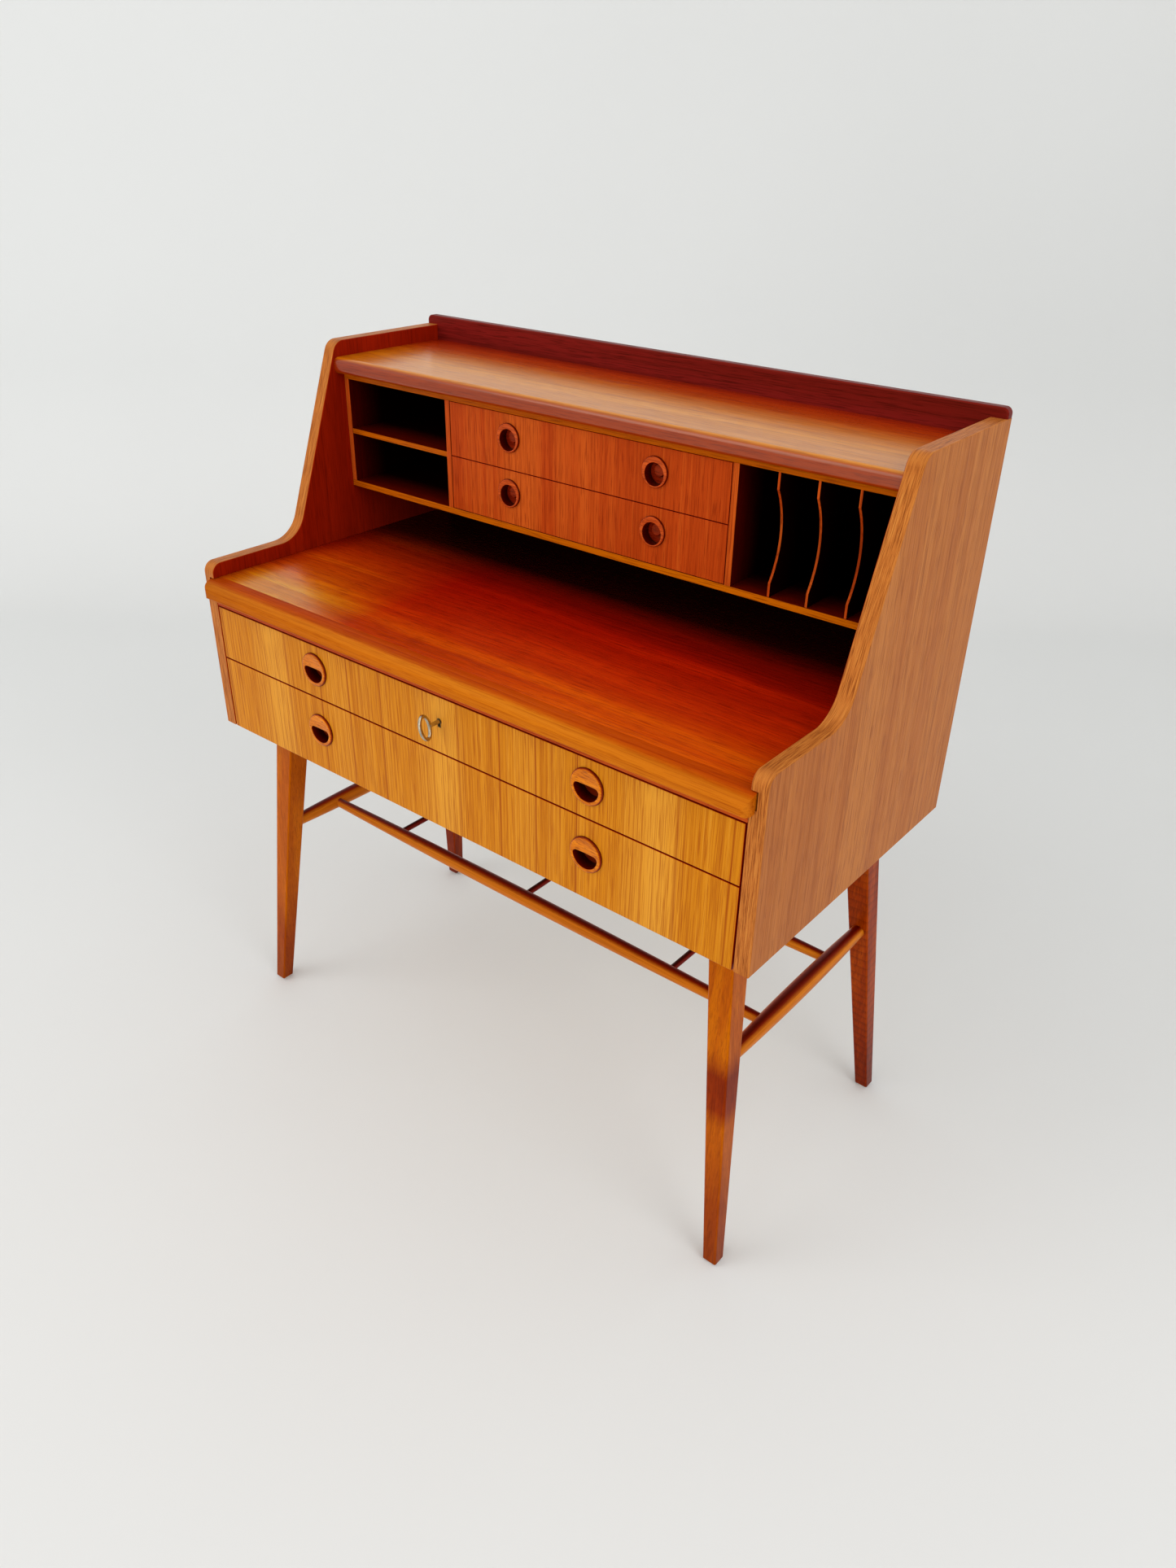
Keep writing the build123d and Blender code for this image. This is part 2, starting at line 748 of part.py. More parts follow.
def leg_centre(side, end, z):
    """Middle of a leg at a height. side is -1 on the left, end is -1 at the front."""
    half = leg_section(z) / 2
    x = side * (half_width - between(leg_top_inset, leg_foot_inset, z) - half)
    if end < 0:
        return x, between(front_leg_top_inset, front_leg_foot_inset, z) + half
    return x, depth - between(rear_leg_top_inset, rear_leg_foot_inset, z) - half


def side_stretcher_ends():
    """Front and rear end of the side stretchers, inside the legs."""
    reach = leg_section(stretcher_height) / 2 - tenon_length
    front = leg_centre(1, -1, stretcher_height)[1] + reach
    rear = leg_centre(1, 1, stretcher_height)[1] - reach
    return front, rear


def side_stretcher_x():
    """Distance of the side stretchers' axes from the middle of the desk."""
    return leg_centre(1, -1, stretcher_height)[0]


def leg(side, end):
    """Square leg, tapered and splayed, bored for its bolt and its stretcher."""
    sections = []
    for z in (glide_thickness, carcass_bottom):
        x, y = leg_centre(side, end, z)
        sections.append(Pos(x, y, z) * Rectangle(leg_section(z), leg_section(z)))
    solid = loft(sections, ruled=True)
    upright = [edge for edge in solid.edges() if edge.bounding_box().size.Z > leg_foot_section]
    solid = fillet(upright, leg_edge_radius)
    solid = chamfer(solid.faces().sort_by(Axis.Z)[0].edges(), foot_chamfer)
    x, y = leg_centre(side, end, carcass_bottom)
    bolt_end = carcass_bottom - leg_bolt_depth - glue_clearance
    solid -= rod((x, y, bolt_end), (0, 0, 1), leg_height, leg_bolt_radius + glue_clearance)
    front, rear = side_stretcher_ends()
    bore_x = side * side_stretcher_x()
    bore_start = (bore_x, front - glue_clearance, stretcher_height)
    bore_length = rear - front + 2 * glue_clearance
    return solid - rod(bore_start, (0, 1, 0), bore_length, side_stretcher_end + glue_clearance)


def spindle(length, tenon, end_radius, middle_radius):
    """Turned bar along X that swells to its middle, with straight tenons."""
    half = length / 2
    shoulder = half - tenon
    swell = Spline((shoulder, end_radius), (0, middle_radius), (-shoulder, end_radius))
    rest = Polyline(
        (-shoulder, end_radius),
        (-half, end_radius),
        (-half, 0),
        (half, 0),
        (half, end_radius),
        (shoulder, end_radius),
    )
    return Rot(-90, 0, 0) * revolve(make_face([swell, rest]), Axis.X)


def long_stretcher_half():
    """Half length of the long stretchers, whose ends lie inside the side stretchers."""
    return side_stretcher_x() - side_stretcher_end + long_tenon_length


def long_stretcher(y):
    """Stretcher from one side stretcher to the other, bored for the rungs."""
    length = 2 * long_stretcher_half()
    bar = spindle(length, long_tenon_length, long_stretcher_end, long_stretcher_middle)
    bar = Pos(0, y, stretcher_height) * bar
    for x in rung_places():
        bar -= rung_bar(x, glue_clearance)
    return bar


def side_stretcher(side):
    """Stretcher between a front and a rear leg, bored for the long stretchers."""
    front, rear = side_stretcher_ends()
    bar = spindle(rear - front, tenon_length, side_stretcher_end, side_stretcher_middle)
    bar = Pos(side * side_stretcher_x(), (front + rear) / 2, stretcher_height) * Rot(0, 0, 90) * bar
    half = long_stretcher_half() + glue_clearance
    for y in (front_stretcher_setback, rear_stretcher_setback):
        bar -= rod((-half, y, stretcher_height), (1, 0, 0), 2 * half, long_stretcher_end + glue_clearance)
    return bar


def rung_places():
    """Middle of each rung of the magazine rack."""
    return spread_evenly(-rung_spread, rung_spread, rung_count)


def rung_bar(x, clearance):
    """A rung of the magazine rack, or with a clearance the bores that hold it."""
    reach = long_stretcher_middle - rung_tenon
    front = front_stretcher_setback + reach - clearance
    rear = rear_stretcher_setback - reach + clearance
    return rod((x, front, stretcher_height), (0, 1, 0), rear - front, rung_radius + clearance)


def leg_bolt(side, end):
    """Bolt from the bottom board down into a leg."""
    x, y = leg_centre(side, end, carcass_bottom)
    seat = bottom_board_top - leg_bolt_head - leg_bolt_head_sink
    low = carcass_bottom - leg_bolt_depth
    shank = rod((x, y, low), (0, 0, 1), seat - low, leg_bolt_radius)
    return shank + rod((x, y, seat), (0, 0, 1), leg_bolt_head, leg_bolt_head_radius)


def leg_glide(side, end):
    """Round glide under a foot."""
    x, y = leg_centre(side, end, glide_thickness)
    glide = rod((x, y, 0), (0, 0, 1), glide_thickness, glide_radius)
    return fillet(glide.edges().sort_by(Axis.Z)[0], glide_edge)


# Writing leaf
def leaf_nosing():
    """Rounded lip along the front of the leaf, by which it is pulled out."""
    low = leaf_bottom - nosing_drop
    arc_low = low + nosing_front_height
    front = nosing_width - nosing_reach
    top = EllipticalCenterArc(
        (nosing_width, arc_low), nosing_reach, leaf_top - arc_low, start_angle=90, arc_size=90
    )
    rest = Polyline(
        (front, arc_low),
        (front, low),
        (-nosing_stop_gap, low),
        (-nosing_stop_gap, leaf_bottom),
        (nosing_width, leaf_bottom),
        (nosing_width, leaf_top),
    )
    profile = round_corner(make_face([top, rest]), (front, low), nosing_lower_radius)
    nosing = Pos(-leaf_half_width, 0, 0) * extrude(Plane.YZ * profile, 2 * leaf_half_width)
    plan = make_face(
        Polyline(
            (-leaf_half_width, front),
            (leaf_half_width, front),
            (leaf_half_width, nosing_width),
            (-leaf_half_width, nosing_width),
            close=True,
        )
    )
    for side in (-leaf_half_width, leaf_half_width):
        plan = round_corner(plan, (side, front), nosing_corner_radius)
    return nosing & extrude(Pos(0, 0, low) * plan, leaf_top - low)


def stop_peg(x, clearance):
    """Peg that meets the rail when the leaf is fully out, or with a clearance its bore."""
    y = rail_rear + leaf_travel + peg_radius + running_clearance
    low = leaf_bottom - peg_drop
    return rod((x, y, low), (0, 0, 1), peg_drop + peg_depth + clearance, peg_radius + clearance)


def writing_leaf():
    """Sliding leaf whose edges run in the grooves of the side panels."""
    leaf = board((-leaf_half_width, leaf_half_width), (nosing_width, leaf_rear), (leaf_bottom, leaf_top))
    for x in (-peg_x, peg_x):
        leaf -= stop_peg(x, glue_clearance)
    return leaf


os.makedirs("parts", exist_ok=True)

save("right_side_panel", right_panel())
save("left_side_panel", mirrored(right_panel()))
save("top_board", top_board())
save("gallery_rail", gallery_rail())
back_half = half_inside + back_rebate - glue_clearance
back_span = (carcass_bottom, top_surface - glue_clearance)
save("back_panel", drill_screws(board((-back_half, back_half), (back_front, back_rear), back_span)))
save("back_panel_screws", *back_screws())
save("bottom_board", bottom_board())
save("front_rail", front_rail())
save("strike_plate", strike_plate())

save("insert_bottom", insert_floor_board())
save("insert_top", insert_ceiling_board())
save("insert_left_wall", insert_upright((-half_inside, -wall_inner)) - shelf_groove_cut(*pigeonhole))
save("insert_right_wall", insert_upright((wall_inner, half_inside)))
left_divider = insert_upright((-divider_outer, -divider_inner))
left_divider -= shelf_groove_cut(*pigeonhole)
save("insert_left_divider", left_divider - shelf_groove_cut(*drawer_bay))
right_divider = insert_upright((divider_inner, divider_outer))
save("insert_right_divider", right_divider - shelf_groove_cut(*drawer_bay))
save("pigeonhole_shelf", shelf(*pigeonhole))
save("small_drawer_dust_shelf", shelf(*drawer_bay))
for number, place in enumerate(letter_places(), start=1):
    save(f"letter_divider_{number}", letter_divider(place))

corners = {"left": -1, "right": 1}
ends = {"front": -1, "rear": 1}
for end_name, end in ends.items():
    for side_name, side in corners.items():
        save(f"{end_name}_{side_name}_leg", leg(side, end))
save("leg_bolts", *[leg_bolt(side, end) for side in corners.values() for end in ends.values()])
save("leg_glides", *[leg_glide(side, end) for side in corners.values() for end in ends.values()])
for side_name, side in corners.items():
    save(f"{side_name}_side_stretcher", side_stretcher(side))
save("front_stretcher", long_stretcher(front_stretcher_setback))
save("rear_stretcher", long_stretcher(rear_stretcher_setback))
save("rack_rungs", *[rung_bar(x, 0) for x in rung_places()])

save("writing_leaf", writing_leaf())
save("leaf_nosing", leaf_nosing())
save("leaf_stop_pegs", *[stop_peg(x, 0) for x in (-peg_x, peg_x)])

upper_box = (upper_front_bottom + upper_box_lift, upper_front_top - long_box_head)
lower_box = (bottom_board_top + lower_box_lift, lower_front_top - long_box_head)
long_drawers = {
    "upper_long": ((upper_front_bottom, upper_front_top), upper_box, upper_pull_drop, keyhole_cuts()),
    "lower_long": ((carcass_bottom, lower_front_top), lower_box, lower_pull_drop, ()),
}
for name, (front_span, box_span, pull_drop, cuts) in long_drawers.items():
    runner_z = runner_span(box_span)
    save(name.replace("long", "drawer_runners"), mirrored(runner(runner_z)), runner(runner_z))
    pull_z = front_span[1] - pull_drop
    drawer(
        name,
        front_x=half_inside - front_gap,
        front_y=0,
        front_z=front_span,
        front_thickness=long_front_thickness,
        box_x=half_inside - long_side_clearance,
        box_z=box_span,
        side_thickness=long_side_thickness,
        box_rear=long_box_rear,
        bottom_thickness=long_bottom_thickness,
        pull=long_pull(),
        pull_places=[(-long_pull_spread, pull_z), (long_pull_spread, pull_z)],
        cup_radius=long_cup_radius,
        cup_length=long_cup_length,
        front_cuts=cuts,
        runner_z=runner_z,
    )

seam = (insert_floor + insert_ceiling) / 2
shelf_half = dust_shelf_thickness / 2
small_drawers = {
    "upper_small": (seam, insert_ceiling, seam + shelf_half),
    "lower_small": (insert_floor, seam, insert_floor),
}
for name, (low, high, carrier) in small_drawers.items():
    edge = small_front_gap / 2
    front_span = (low + edge, high - edge)
    ceiling = insert_ceiling if high > seam else seam - shelf_half
    pull_z = front_span[1] - small_pull_drop
    drawer(
        name,
        front_x=divider_inner - small_front_gap,
        front_y=insert_setback,
        front_z=front_span,
        front_thickness=small_front_thickness,
        box_x=divider_inner - small_side_clearance,
        box_z=(carrier + running_clearance, ceiling - small_box_head),
        side_thickness=small_side_thickness,
        box_rear=small_box_rear,
        bottom_thickness=small_bottom_thickness,
        pull=small_pull(),
        pull_places=[(-small_pull_spread, pull_z), (small_pull_spread, pull_z)],
        cup_radius=small_cup_radius,
        cup_length=small_cup_length,
    )

save("lock_case", lock_case())
save("escutcheon", escutcheon())
save("lock_bolt", lock_bolt())
save("key", key())
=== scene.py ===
import math

import bpy
from bpy.props import FloatProperty, FloatVectorProperty, IntProperty, PointerProperty
from mathutils import Matrix, Vector


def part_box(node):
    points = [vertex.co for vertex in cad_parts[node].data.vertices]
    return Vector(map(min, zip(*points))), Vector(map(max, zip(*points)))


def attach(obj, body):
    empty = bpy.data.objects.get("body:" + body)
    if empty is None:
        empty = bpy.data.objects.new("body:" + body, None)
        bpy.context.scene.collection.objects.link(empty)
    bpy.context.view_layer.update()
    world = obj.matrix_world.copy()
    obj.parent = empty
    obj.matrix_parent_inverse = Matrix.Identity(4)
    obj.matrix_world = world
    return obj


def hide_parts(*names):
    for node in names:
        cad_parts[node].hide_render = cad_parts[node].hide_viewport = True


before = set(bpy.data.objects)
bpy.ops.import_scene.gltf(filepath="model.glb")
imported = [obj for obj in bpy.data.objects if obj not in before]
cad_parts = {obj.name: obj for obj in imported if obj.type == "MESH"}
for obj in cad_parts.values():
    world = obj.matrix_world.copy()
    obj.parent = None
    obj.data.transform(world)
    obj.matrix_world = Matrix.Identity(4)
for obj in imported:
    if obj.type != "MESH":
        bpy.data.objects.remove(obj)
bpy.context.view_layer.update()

bl_info = {
    "name": "Secretary desk finish",
    "version": (1, 0, 0),
    "blender": (4, 5, 0),
    "location": "3D View > Sidebar > Desk",
    "description": "Gives a teak secretary desk its woods, metals, screws, dovetails and studio",
    "category": "Object",
}

DRAWERS = ("upper_long", "lower_long", "upper_small", "lower_small")
# Places of the dark streaks across one leaf of the matched veneer, as shares of its width.
LEAF_STREAKS = (0.129, 0.553, 0.763, 0.937)
STREAK_REACH = 0.005  # on each side of a streak's middle, as a share of a leaf of veneer
DRIFT = (9, 9, 3)  # scale per metre of the grain's wandering: across, through and along a board
RING_LEAN = 0.6  # how far the growth rings lean through a board
RING_BOW = 5.0  # how far the figure bends the growth rings, in rings
EDGE_FIBRE = (0.0008, 0.03, 0.03)  # size in metres of the fibres on a solid edge
PORE_DEPTH = 0.0003  # metres
SHANK_SHARE = 0.44  # radius of a screw's shank over that of its head
TAIL_NECK = 0.7  # narrow end of a dovetail over its wide end
TAIL_SHARE = 0.8  # part of the step between a drawer's side and front that a dovetail fills
VIEW_TURN = 38.8  # turn of the camera's view from straight at the desk's front, in degrees
SENSOR = 36.0  # width of the camera's frame, in millimetres
# Finishes that several pieces share: dull boards inside the desk, and the drawers' boxes.
DULL_BOARD = dict(pores=0.2, line=0.3, gloss=0.2, roughness=0.6, wear=0.0)
DRAWER_BOX = dict(line=0.3, gloss=0.25, roughness=0.5, wear=0.0)


def linear(hex_colour):
    """Linear RGBA of an sRGB hex colour."""
    channels = [int(hex_colour[at:at + 2], 16) / 255 for at in (1, 3, 5)]
    return (*(c / 12.92 if c <= 0.04045 else ((c + 0.055) / 1.055) ** 2.4 for c in channels), 1.0)


# Colours a user may change: name, description and sRGB value.
COLOURS = {
    "front_light": ("Light bands of the long drawer fronts", "#DF9B34"),
    "front_mid": ("Ground of the long drawer fronts", "#CC7E12"),
    "front_dark": ("Streaks of the long drawer fronts", "#903403"),
    "small_light": ("Light grain of the small drawer fronts", "#CC601C"),
    "small_mid": ("Ground of the small drawer fronts", "#B3410E"),
    "small_dark": ("Streaks of the small drawer fronts", "#812404"),
    "side_light": ("Light grain of the side panels", "#C47A37"),
    "side_mid": ("Ground of the side panels", "#B4682B"),
    "side_dark": ("Streaks of the side panels", "#874116"),
    "lip_light": ("Light grain of the panels' solid edges", "#C98039"),
    "lip_mid": ("Ground of the panels' solid edges", "#B6672A"),
    "lip_dark": ("Pores of the panels' solid edges", "#793B16"),
    "leaf_light": ("Light grain of the writing leaf", "#EDA908"),
    "leaf_mid": ("Ground of the writing leaf", "#D47D03"),
    "leaf_dark": ("Streaks of the writing leaf", "#924301"),
    "top_light": ("Light grain of the top", "#ED9908"),
    "top_mid": ("Ground of the top", "#D68304"),
    "top_dark": ("Streaks of the top", "#A25502"),
    "rail_light": ("Light grain of the gallery rail", "#821C19"),
    "rail_mid": ("Ground of the gallery rail", "#6D1510"),
    "rail_dark": ("Streaks of the gallery rail", "#490906"),
    "pull_light": ("Light grain of the turned pulls", "#EA8804"),
    "pull_mid": ("Ground of the turned pulls", "#CC6B03"),
    "pull_dark": ("Pores of the turned pulls", "#863501"),
    "knob_light": ("Light grain of the small pulls", "#D55D22"),
    "knob_mid": ("Ground of the small pulls", "#B74514"),
    "knob_dark": ("Pores of the small pulls", "#742108"),
    "leg_light": ("Light grain of the legs", "#C56900"),
    "leg_mid": ("Ground of the legs", "#B25300"),
    "leg_dark": ("Rays of the legs", "#7F3300"),
    "rear_light": ("Light grain of the rear legs", "#B04800"),
    "rear_mid": ("Ground of the rear legs", "#943100"),
    "rear_dark": ("Rays of the rear legs", "#5F1C00"),
    "bar_light": ("Light grain of the stretchers and rungs", "#DE8620"),
    "bar_mid": ("Ground of the stretchers and rungs", "#C66C14"),
    "bar_dark": ("Streaks of the stretchers and rungs", "#883A08"),
    "box_light": ("Light grain of the drawer boxes", "#E4C79C"),
    "box_mid": ("Ground of the drawer boxes", "#D6B484"),
    "box_dark": ("Rays of the drawer boxes", "#B48C5A"),
    "board_light": ("Light fibres of the stained boards", "#8A5A36"),
    "board_mid": ("Ground of the stained boards", "#7A4C2C"),
    "board_dark": ("Dark fibres of the stained boards", "#5C361C"),
    "nickel": ("Nickel plate of the key", "#B9AE98"),
    "steel": ("Steel of the lock and bolts", "#8C8A86"),
    "brass": ("Brass of the keyhole liner", "#6A5230"),
    "tarnish": ("Dull marks on the metals", "#4A4038"),
    "glide": ("Plastic of the glides", "#DDD6C8"),
    "floor": ("Studio floor", "#E6E8E8"),
}

# Sizes a user may change, in metres: name, description and value.
SIZES = {
    "veneer_leaf": ("Width of one leaf of matched veneer", 0.333),
    "leaf_start": ("Where a leaf of veneer starts, from the middle", -0.15),
    "screw_radius": ("Head radius of the back panel screws", 0.0036),
    "screw_height": ("Head height of the back panel screws", 0.0018),
    "screw_length": ("Shank length of the back panel screws", 0.018),
    "lock_screw_radius": ("Head radius of the lock screws", 0.0024),
    "lock_screw_height": ("Head height of the lock screws", 0.0009),
    "tail_width": ("Widest part of a dovetail", 0.011),
    "tail_length": ("Length of a dovetail", 0.012),
    "tail_pitch": ("Distance between dovetails", 0.020),
}


def annotate(table, make):
    """Annotations of a property group from a table of its values."""
    return {key: make(key.replace("_", " ").capitalize(), *row) for key, row in table.items()}


class DeskColours(bpy.types.PropertyGroup):
    """Colours of the desk's woods and metals."""

    __annotations__ = annotate(
        COLOURS,
        lambda label, words, value: FloatVectorProperty(
            name=label, description=words, subtype="COLOR", size=4, min=0, max=1, default=linear(value)
        ),
    )


class DeskSizes(bpy.types.PropertyGroup):
    """Sizes of the veneer, the screws and the dovetails."""

    __annotations__ = annotate(
        SIZES,
        lambda label, words, value: FloatProperty(
            name=label, description=words, unit="LENGTH", precision=4, default=value
        ),
    )


class DeskStudio(bpy.types.PropertyGroup):
    """Light and camera of the studio."""

    key_power: FloatProperty(
        name="Key power", description="Power of the large light at the front left", unit="POWER", default=30.0
    )
    fill_power: FloatProperty(
        name="Fill power", description="Power of the light at the right", unit="POWER", default=26.0
    )
    low_power: FloatProperty(
        name="Low power",
        description="Power of the low light that reaches under the desk",
        unit="POWER",
        default=55.0,
    )
    room_light: FloatProperty(
        name="Room light", description="Strength of the light from all around", default=0.84
    )
    lens: FloatProperty(
        name="Lens", description="Focal length on a 36 mm wide frame", unit="CAMERA", default=26.77
    )
    seed: IntProperty(name="Seed", description="Seed of the screws' turns", default=3)


def add(tree, kind, settings=None, inputs=None):
    """Add a node, set its settings, and set or link its inputs."""
    node = tree.nodes.new(kind)
    for name, value in (settings or {}).items():
        if name != "stops":
            setattr(node, name, value)
            continue
        ramp = node.color_ramp.elements
        first, *inner, last = sorted(value, key=lambda stop: stop[0])
        for stop, (place, colour) in zip(ramp, (first, last)):
            stop.position = place
            stop.color = colour
        for place, colour in inner:
            ramp.new(place).color = colour
    for name, value in (inputs or {}).items():
        socket = node.inputs[name]
        for one in value if isinstance(value, list) else [value]:
            if isinstance(one, bpy.types.NodeSocket):
                tree.links.new(one, socket)
            else:
                socket.default_value = one
    return node


def new_material(name):
    """An empty node material and its tree."""
    material = bpy.data.materials.new(name)
    material.use_nodes = True
    material.node_tree.nodes.clear()
    return material, material.node_tree


def tones(name):
    """Light, middle and dark colour of a wood."""
    colours = bpy.context.scene.desk_colours
    return [tuple(getattr(colours, f"{name}_{tone}")) for tone in ("light", "mid", "dark")]


def between(first, second, share):
    """A colour between two others."""
    return tuple((1 - share) * one + share * two for one, two in zip(first, second))


WHITE = (1, 1, 1, 1)
GREY = (0.5, 0.5, 0.5, 1)
BLACK = (0, 0, 0, 1)
PLAIN = "#FFFFFF"  # the tint of an unshaded place


def wood(name, grain, colour, seed=0.0, figure=(0.05, 2.0), ring=(0.011, 0.6), fine=(0.0028, 0.30),
         pore=(0.0012, 0.04), contrast=0.15, rings=0.4, line=0.35, pores=0.6, wander=0.004, roughness=0.36,
         gloss=0.12, sheen="#D89048", matched=False, edges=None, shade=(), crescents=None, wear=0.3,
         crisp=0.6):
    """A lacquered board or turning of one wood, with its grain along one axis.

    figure, ring, fine and pore are the width and length of its marks in metres. Single pores are about 0.3 mm
    wide, too fine to show, so pore is the size of the dashes that a few of them make. contrast, rings, line
    and pores are how strong the marks are. edges names the wood of a solid edge around a veneered face. shade
    lists tints that the colour is multiplied by, such as painted shade and painted reflection: along a
    coordinate, X, Y or Z, or by the way a side faces, x, y or z, with the tint at each place. crescents is the
    spacing of the rings that a flat cut shows. crisp is how far into a year's growth its dark part starts. wear
    is how far rounded edges are rubbed light. sheen is the colour of what the finish reflects.
    """
    light, mid, dark = tones(colour)
    material, tree = new_material(name)
    where = add(tree, "ShaderNodeTexCoord").outputs
    axes = add(tree, "ShaderNodeSeparateXYZ", None, {0: where["Object"]}).outputs
    facing = add(tree, "ShaderNodeSeparateXYZ", None, {0: where["Normal"]}).outputs
    order = {"X": (1, 2, 0), "Y": (0, 2, 1), "Z": (0, 1, 2)}[grain]
    across, through, along = (axes[at] for at in order)
    sizes = bpy.context.scene.desk_sizes
    plain = add(tree, "ShaderNodeCombineXYZ", None, {0: across, 1: through, 2: along}).outputs[0]
    slow = add(tree, "ShaderNodeMapping", None, {"Vector": plain, "Scale": DRIFT, "Location": (seed, 0, seed)})
    drift = add(tree, "ShaderNodeTexNoise", None, {"Vector": slow.outputs[0], "Scale": 1.0, "Detail": 1.0})
    bent = add(
        tree, "ShaderNodeMath", {"operation": "MULTIPLY_ADD"}, {0: drift.outputs[0], 1: wander, 2: across}
    ).outputs[0]
    if matched:
        moved = add(tree, "ShaderNodeMath", {"operation": "SUBTRACT"}, {0: bent, 1: sizes.leaf_start})
        bent = add(
            tree, "ShaderNodeMath", {"operation": "FLOORED_MODULO"}, {0: moved.outputs[0], 1: sizes.veneer_leaf}
        ).outputs[0]
    placed = add(tree, "ShaderNodeCombineXYZ", None, {0: bent, 1: through, 2: along}).outputs[0]
    marks = {}
    layers = {
        "figure": (figure, 2.0),
        "ring": ((2 * ring[0], ring[1]), 1.0),
        "fine": (fine, 3.0),
        "pore": (pore, 1.0),
    }
    for at, (layer, ((wide, long), detail)) in enumerate(layers.items()):
        stretched = add(
            tree,
            "ShaderNodeMapping",
            None,
            {
                "Vector": placed,
                "Scale": (1 / wide, 1 / wide, 1 / long),
                "Location": (seed + at, 2 * seed, 3 * seed - at),
            },
        )
        marks[layer] = add(
            tree,
            "ShaderNodeTexNoise",
            None,
            {"Vector": stretched.outputs[0], "Scale": 1.0, "Detail": detail, "Roughness": 0.6},
        ).outputs[0]
    paint = add(
        tree,
        "ShaderNodeValToRGB",
        {"stops": [
            (0.36, between(mid, dark, contrast)), (0.5, mid), (0.64, between(mid, light, 4 * contrast)),
        ]},
        {0: marks["figure"]},
    ).outputs[0]
    if matched:
        share = add(tree, "ShaderNodeMath", {"operation": "DIVIDE"}, {0: bent, 1: sizes.veneer_leaf}).outputs[0]
        for tone, stops in (
            (light, [(0.30, BLACK), (0.40, GREY), (0.50, GREY), (0.60, BLACK)]),
            (dark, [
                (at + STREAK_REACH * side, BLACK if side else WHITE)
                for at in LEAF_STREAKS
                for side in (-1, 0, 1)
            ]),
        ):
            band = add(tree, "ShaderNodeValToRGB", {"stops": stops}, {0: share})
            paint = add(tree, "ShaderNodeMixRGB", None, {0: band.outputs[0], 1: paint, 2: tone}).outputs[0]
    if crescents:
        bowl = add(
            tree,
            "ShaderNodeTexWave",
            {"wave_type": "BANDS", "bands_direction": "Z", "wave_profile": "SAW"},
            {
                "Vector": plain,
                "Scale": math.pi / 10 / crescents,
                "Distortion": 5.0,
                "Detail": 1.0,
                "Detail Scale": 0.6,
            },
        )
        cut = add(tree, "ShaderNodeMapRange", None, {"Value": bowl.outputs[0], "From Min": 0.5, "To Max": 0.5})
        paint = add(tree, "ShaderNodeMixRGB", None, {0: cut.outputs[0], 1: paint, 2: dark}).outputs[0]
    leaning = add(
        tree, "ShaderNodeMath", {"operation": "MULTIPLY_ADD"}, {0: through, 1: RING_LEAN, 2: bent}
    ).outputs[0]
    years = add(tree, "ShaderNodeMath", {"operation": "DIVIDE"}, {0: leaning, 1: ring[0]}).outputs[0]
    years = add(
        tree, "ShaderNodeMath", {"operation": "MULTIPLY_ADD"}, {0: marks["figure"], 1: RING_BOW, 2: years}
    ).outputs[0]
    year = add(tree, "ShaderNodeMath", {"operation": "FRACT"}, {0: years}).outputs[0]
    late = add(tree, "ShaderNodeMapRange", None, {"Value": year, "From Min": crisp}).outputs[0]
    strong = add(
        tree,
        "ShaderNodeMapRange",
        None,
        {"Value": marks["ring"], "From Min": 0.42, "From Max": 0.62, "To Max": rings},
    ).outputs[0]
    late = add(tree, "ShaderNodeMath", {"operation": "MULTIPLY"}, {0: late, 1: strong}).outputs[0]
    paint = add(tree, "ShaderNodeMixRGB", None, {0: late, 1: paint, 2: dark}).outputs[0]
    for layer, low, high, amount, tone in (
        ("fine", 0.54, 0.68, line, light),
        ("fine", 0.48, 0.34, line, dark),
        ("pore", 0.55, 0.62, pores, dark),
    ):
        share = add(
            tree,
            "ShaderNodeMapRange",
            None,
            {"Value": marks[layer], "From Min": low, "From Max": high, "To Max": amount},
        )
        paint = add(tree, "ShaderNodeMixRGB", None, {0: share.outputs[0], 1: paint, 2: tone}).outputs[0]
    turned = add(tree, "ShaderNodeVectorMath", {"operation": "ABSOLUTE"}, {0: where["Normal"]}).outputs[0]
    square = add(tree, "ShaderNodeSeparateXYZ", None, {0: turned}).outputs
    if edges:
        edge_light, edge_mid, edge_dark = tones(edges)
        stretch = tuple(1 / size for size in EDGE_FIBRE)
        strip = add(tree, "ShaderNodeMapping", None, {"Vector": where["Object"], "Scale": stretch})
        fibre = add(
            tree,
            "ShaderNodeTexNoise",
            None,
            {"Vector": strip.outputs[0], "Scale": 1.0, "Detail": 4.0, "Roughness": 0.65},
        )
        lip = add(
            tree,
            "ShaderNodeValToRGB",
            {"stops": [(0.36, edge_dark), (0.66, edge_light), (0.5, edge_mid)]},
            {0: fibre.outputs[0]},
        )
        flat = add(tree, "ShaderNodeMapRange", None, {"Value": square[0], "From Min": 0.7, "From Max": 0.8})
        paint = add(
            tree, "ShaderNodeMixRGB", None, {0: flat.outputs[0], 1: lip.outputs[0], 2: paint}
        ).outputs[0]
    if wear:
        most = add(tree, "ShaderNodeMath", {"operation": "MAXIMUM"}, {0: square[0], 1: square[1]})
        most = add(tree, "ShaderNodeMath", {"operation": "MAXIMUM"}, {0: most.outputs[0], 1: square[2]})
        rubbed = add(
            tree,
            "ShaderNodeMapRange",
            None,
            {"Value": most.outputs[0], "From Min": 0.8, "From Max": 0.97, "To Min": wear, "To Max": 0.0},
        )
        paint = add(tree, "ShaderNodeMixRGB", None, {0: rubbed.outputs[0], 1: paint, 2: light}).outputs[0]
    # Multiply the colour by each ramp of tints in shade, such as painted shade and painted reflection.
    for source, tints in shade:
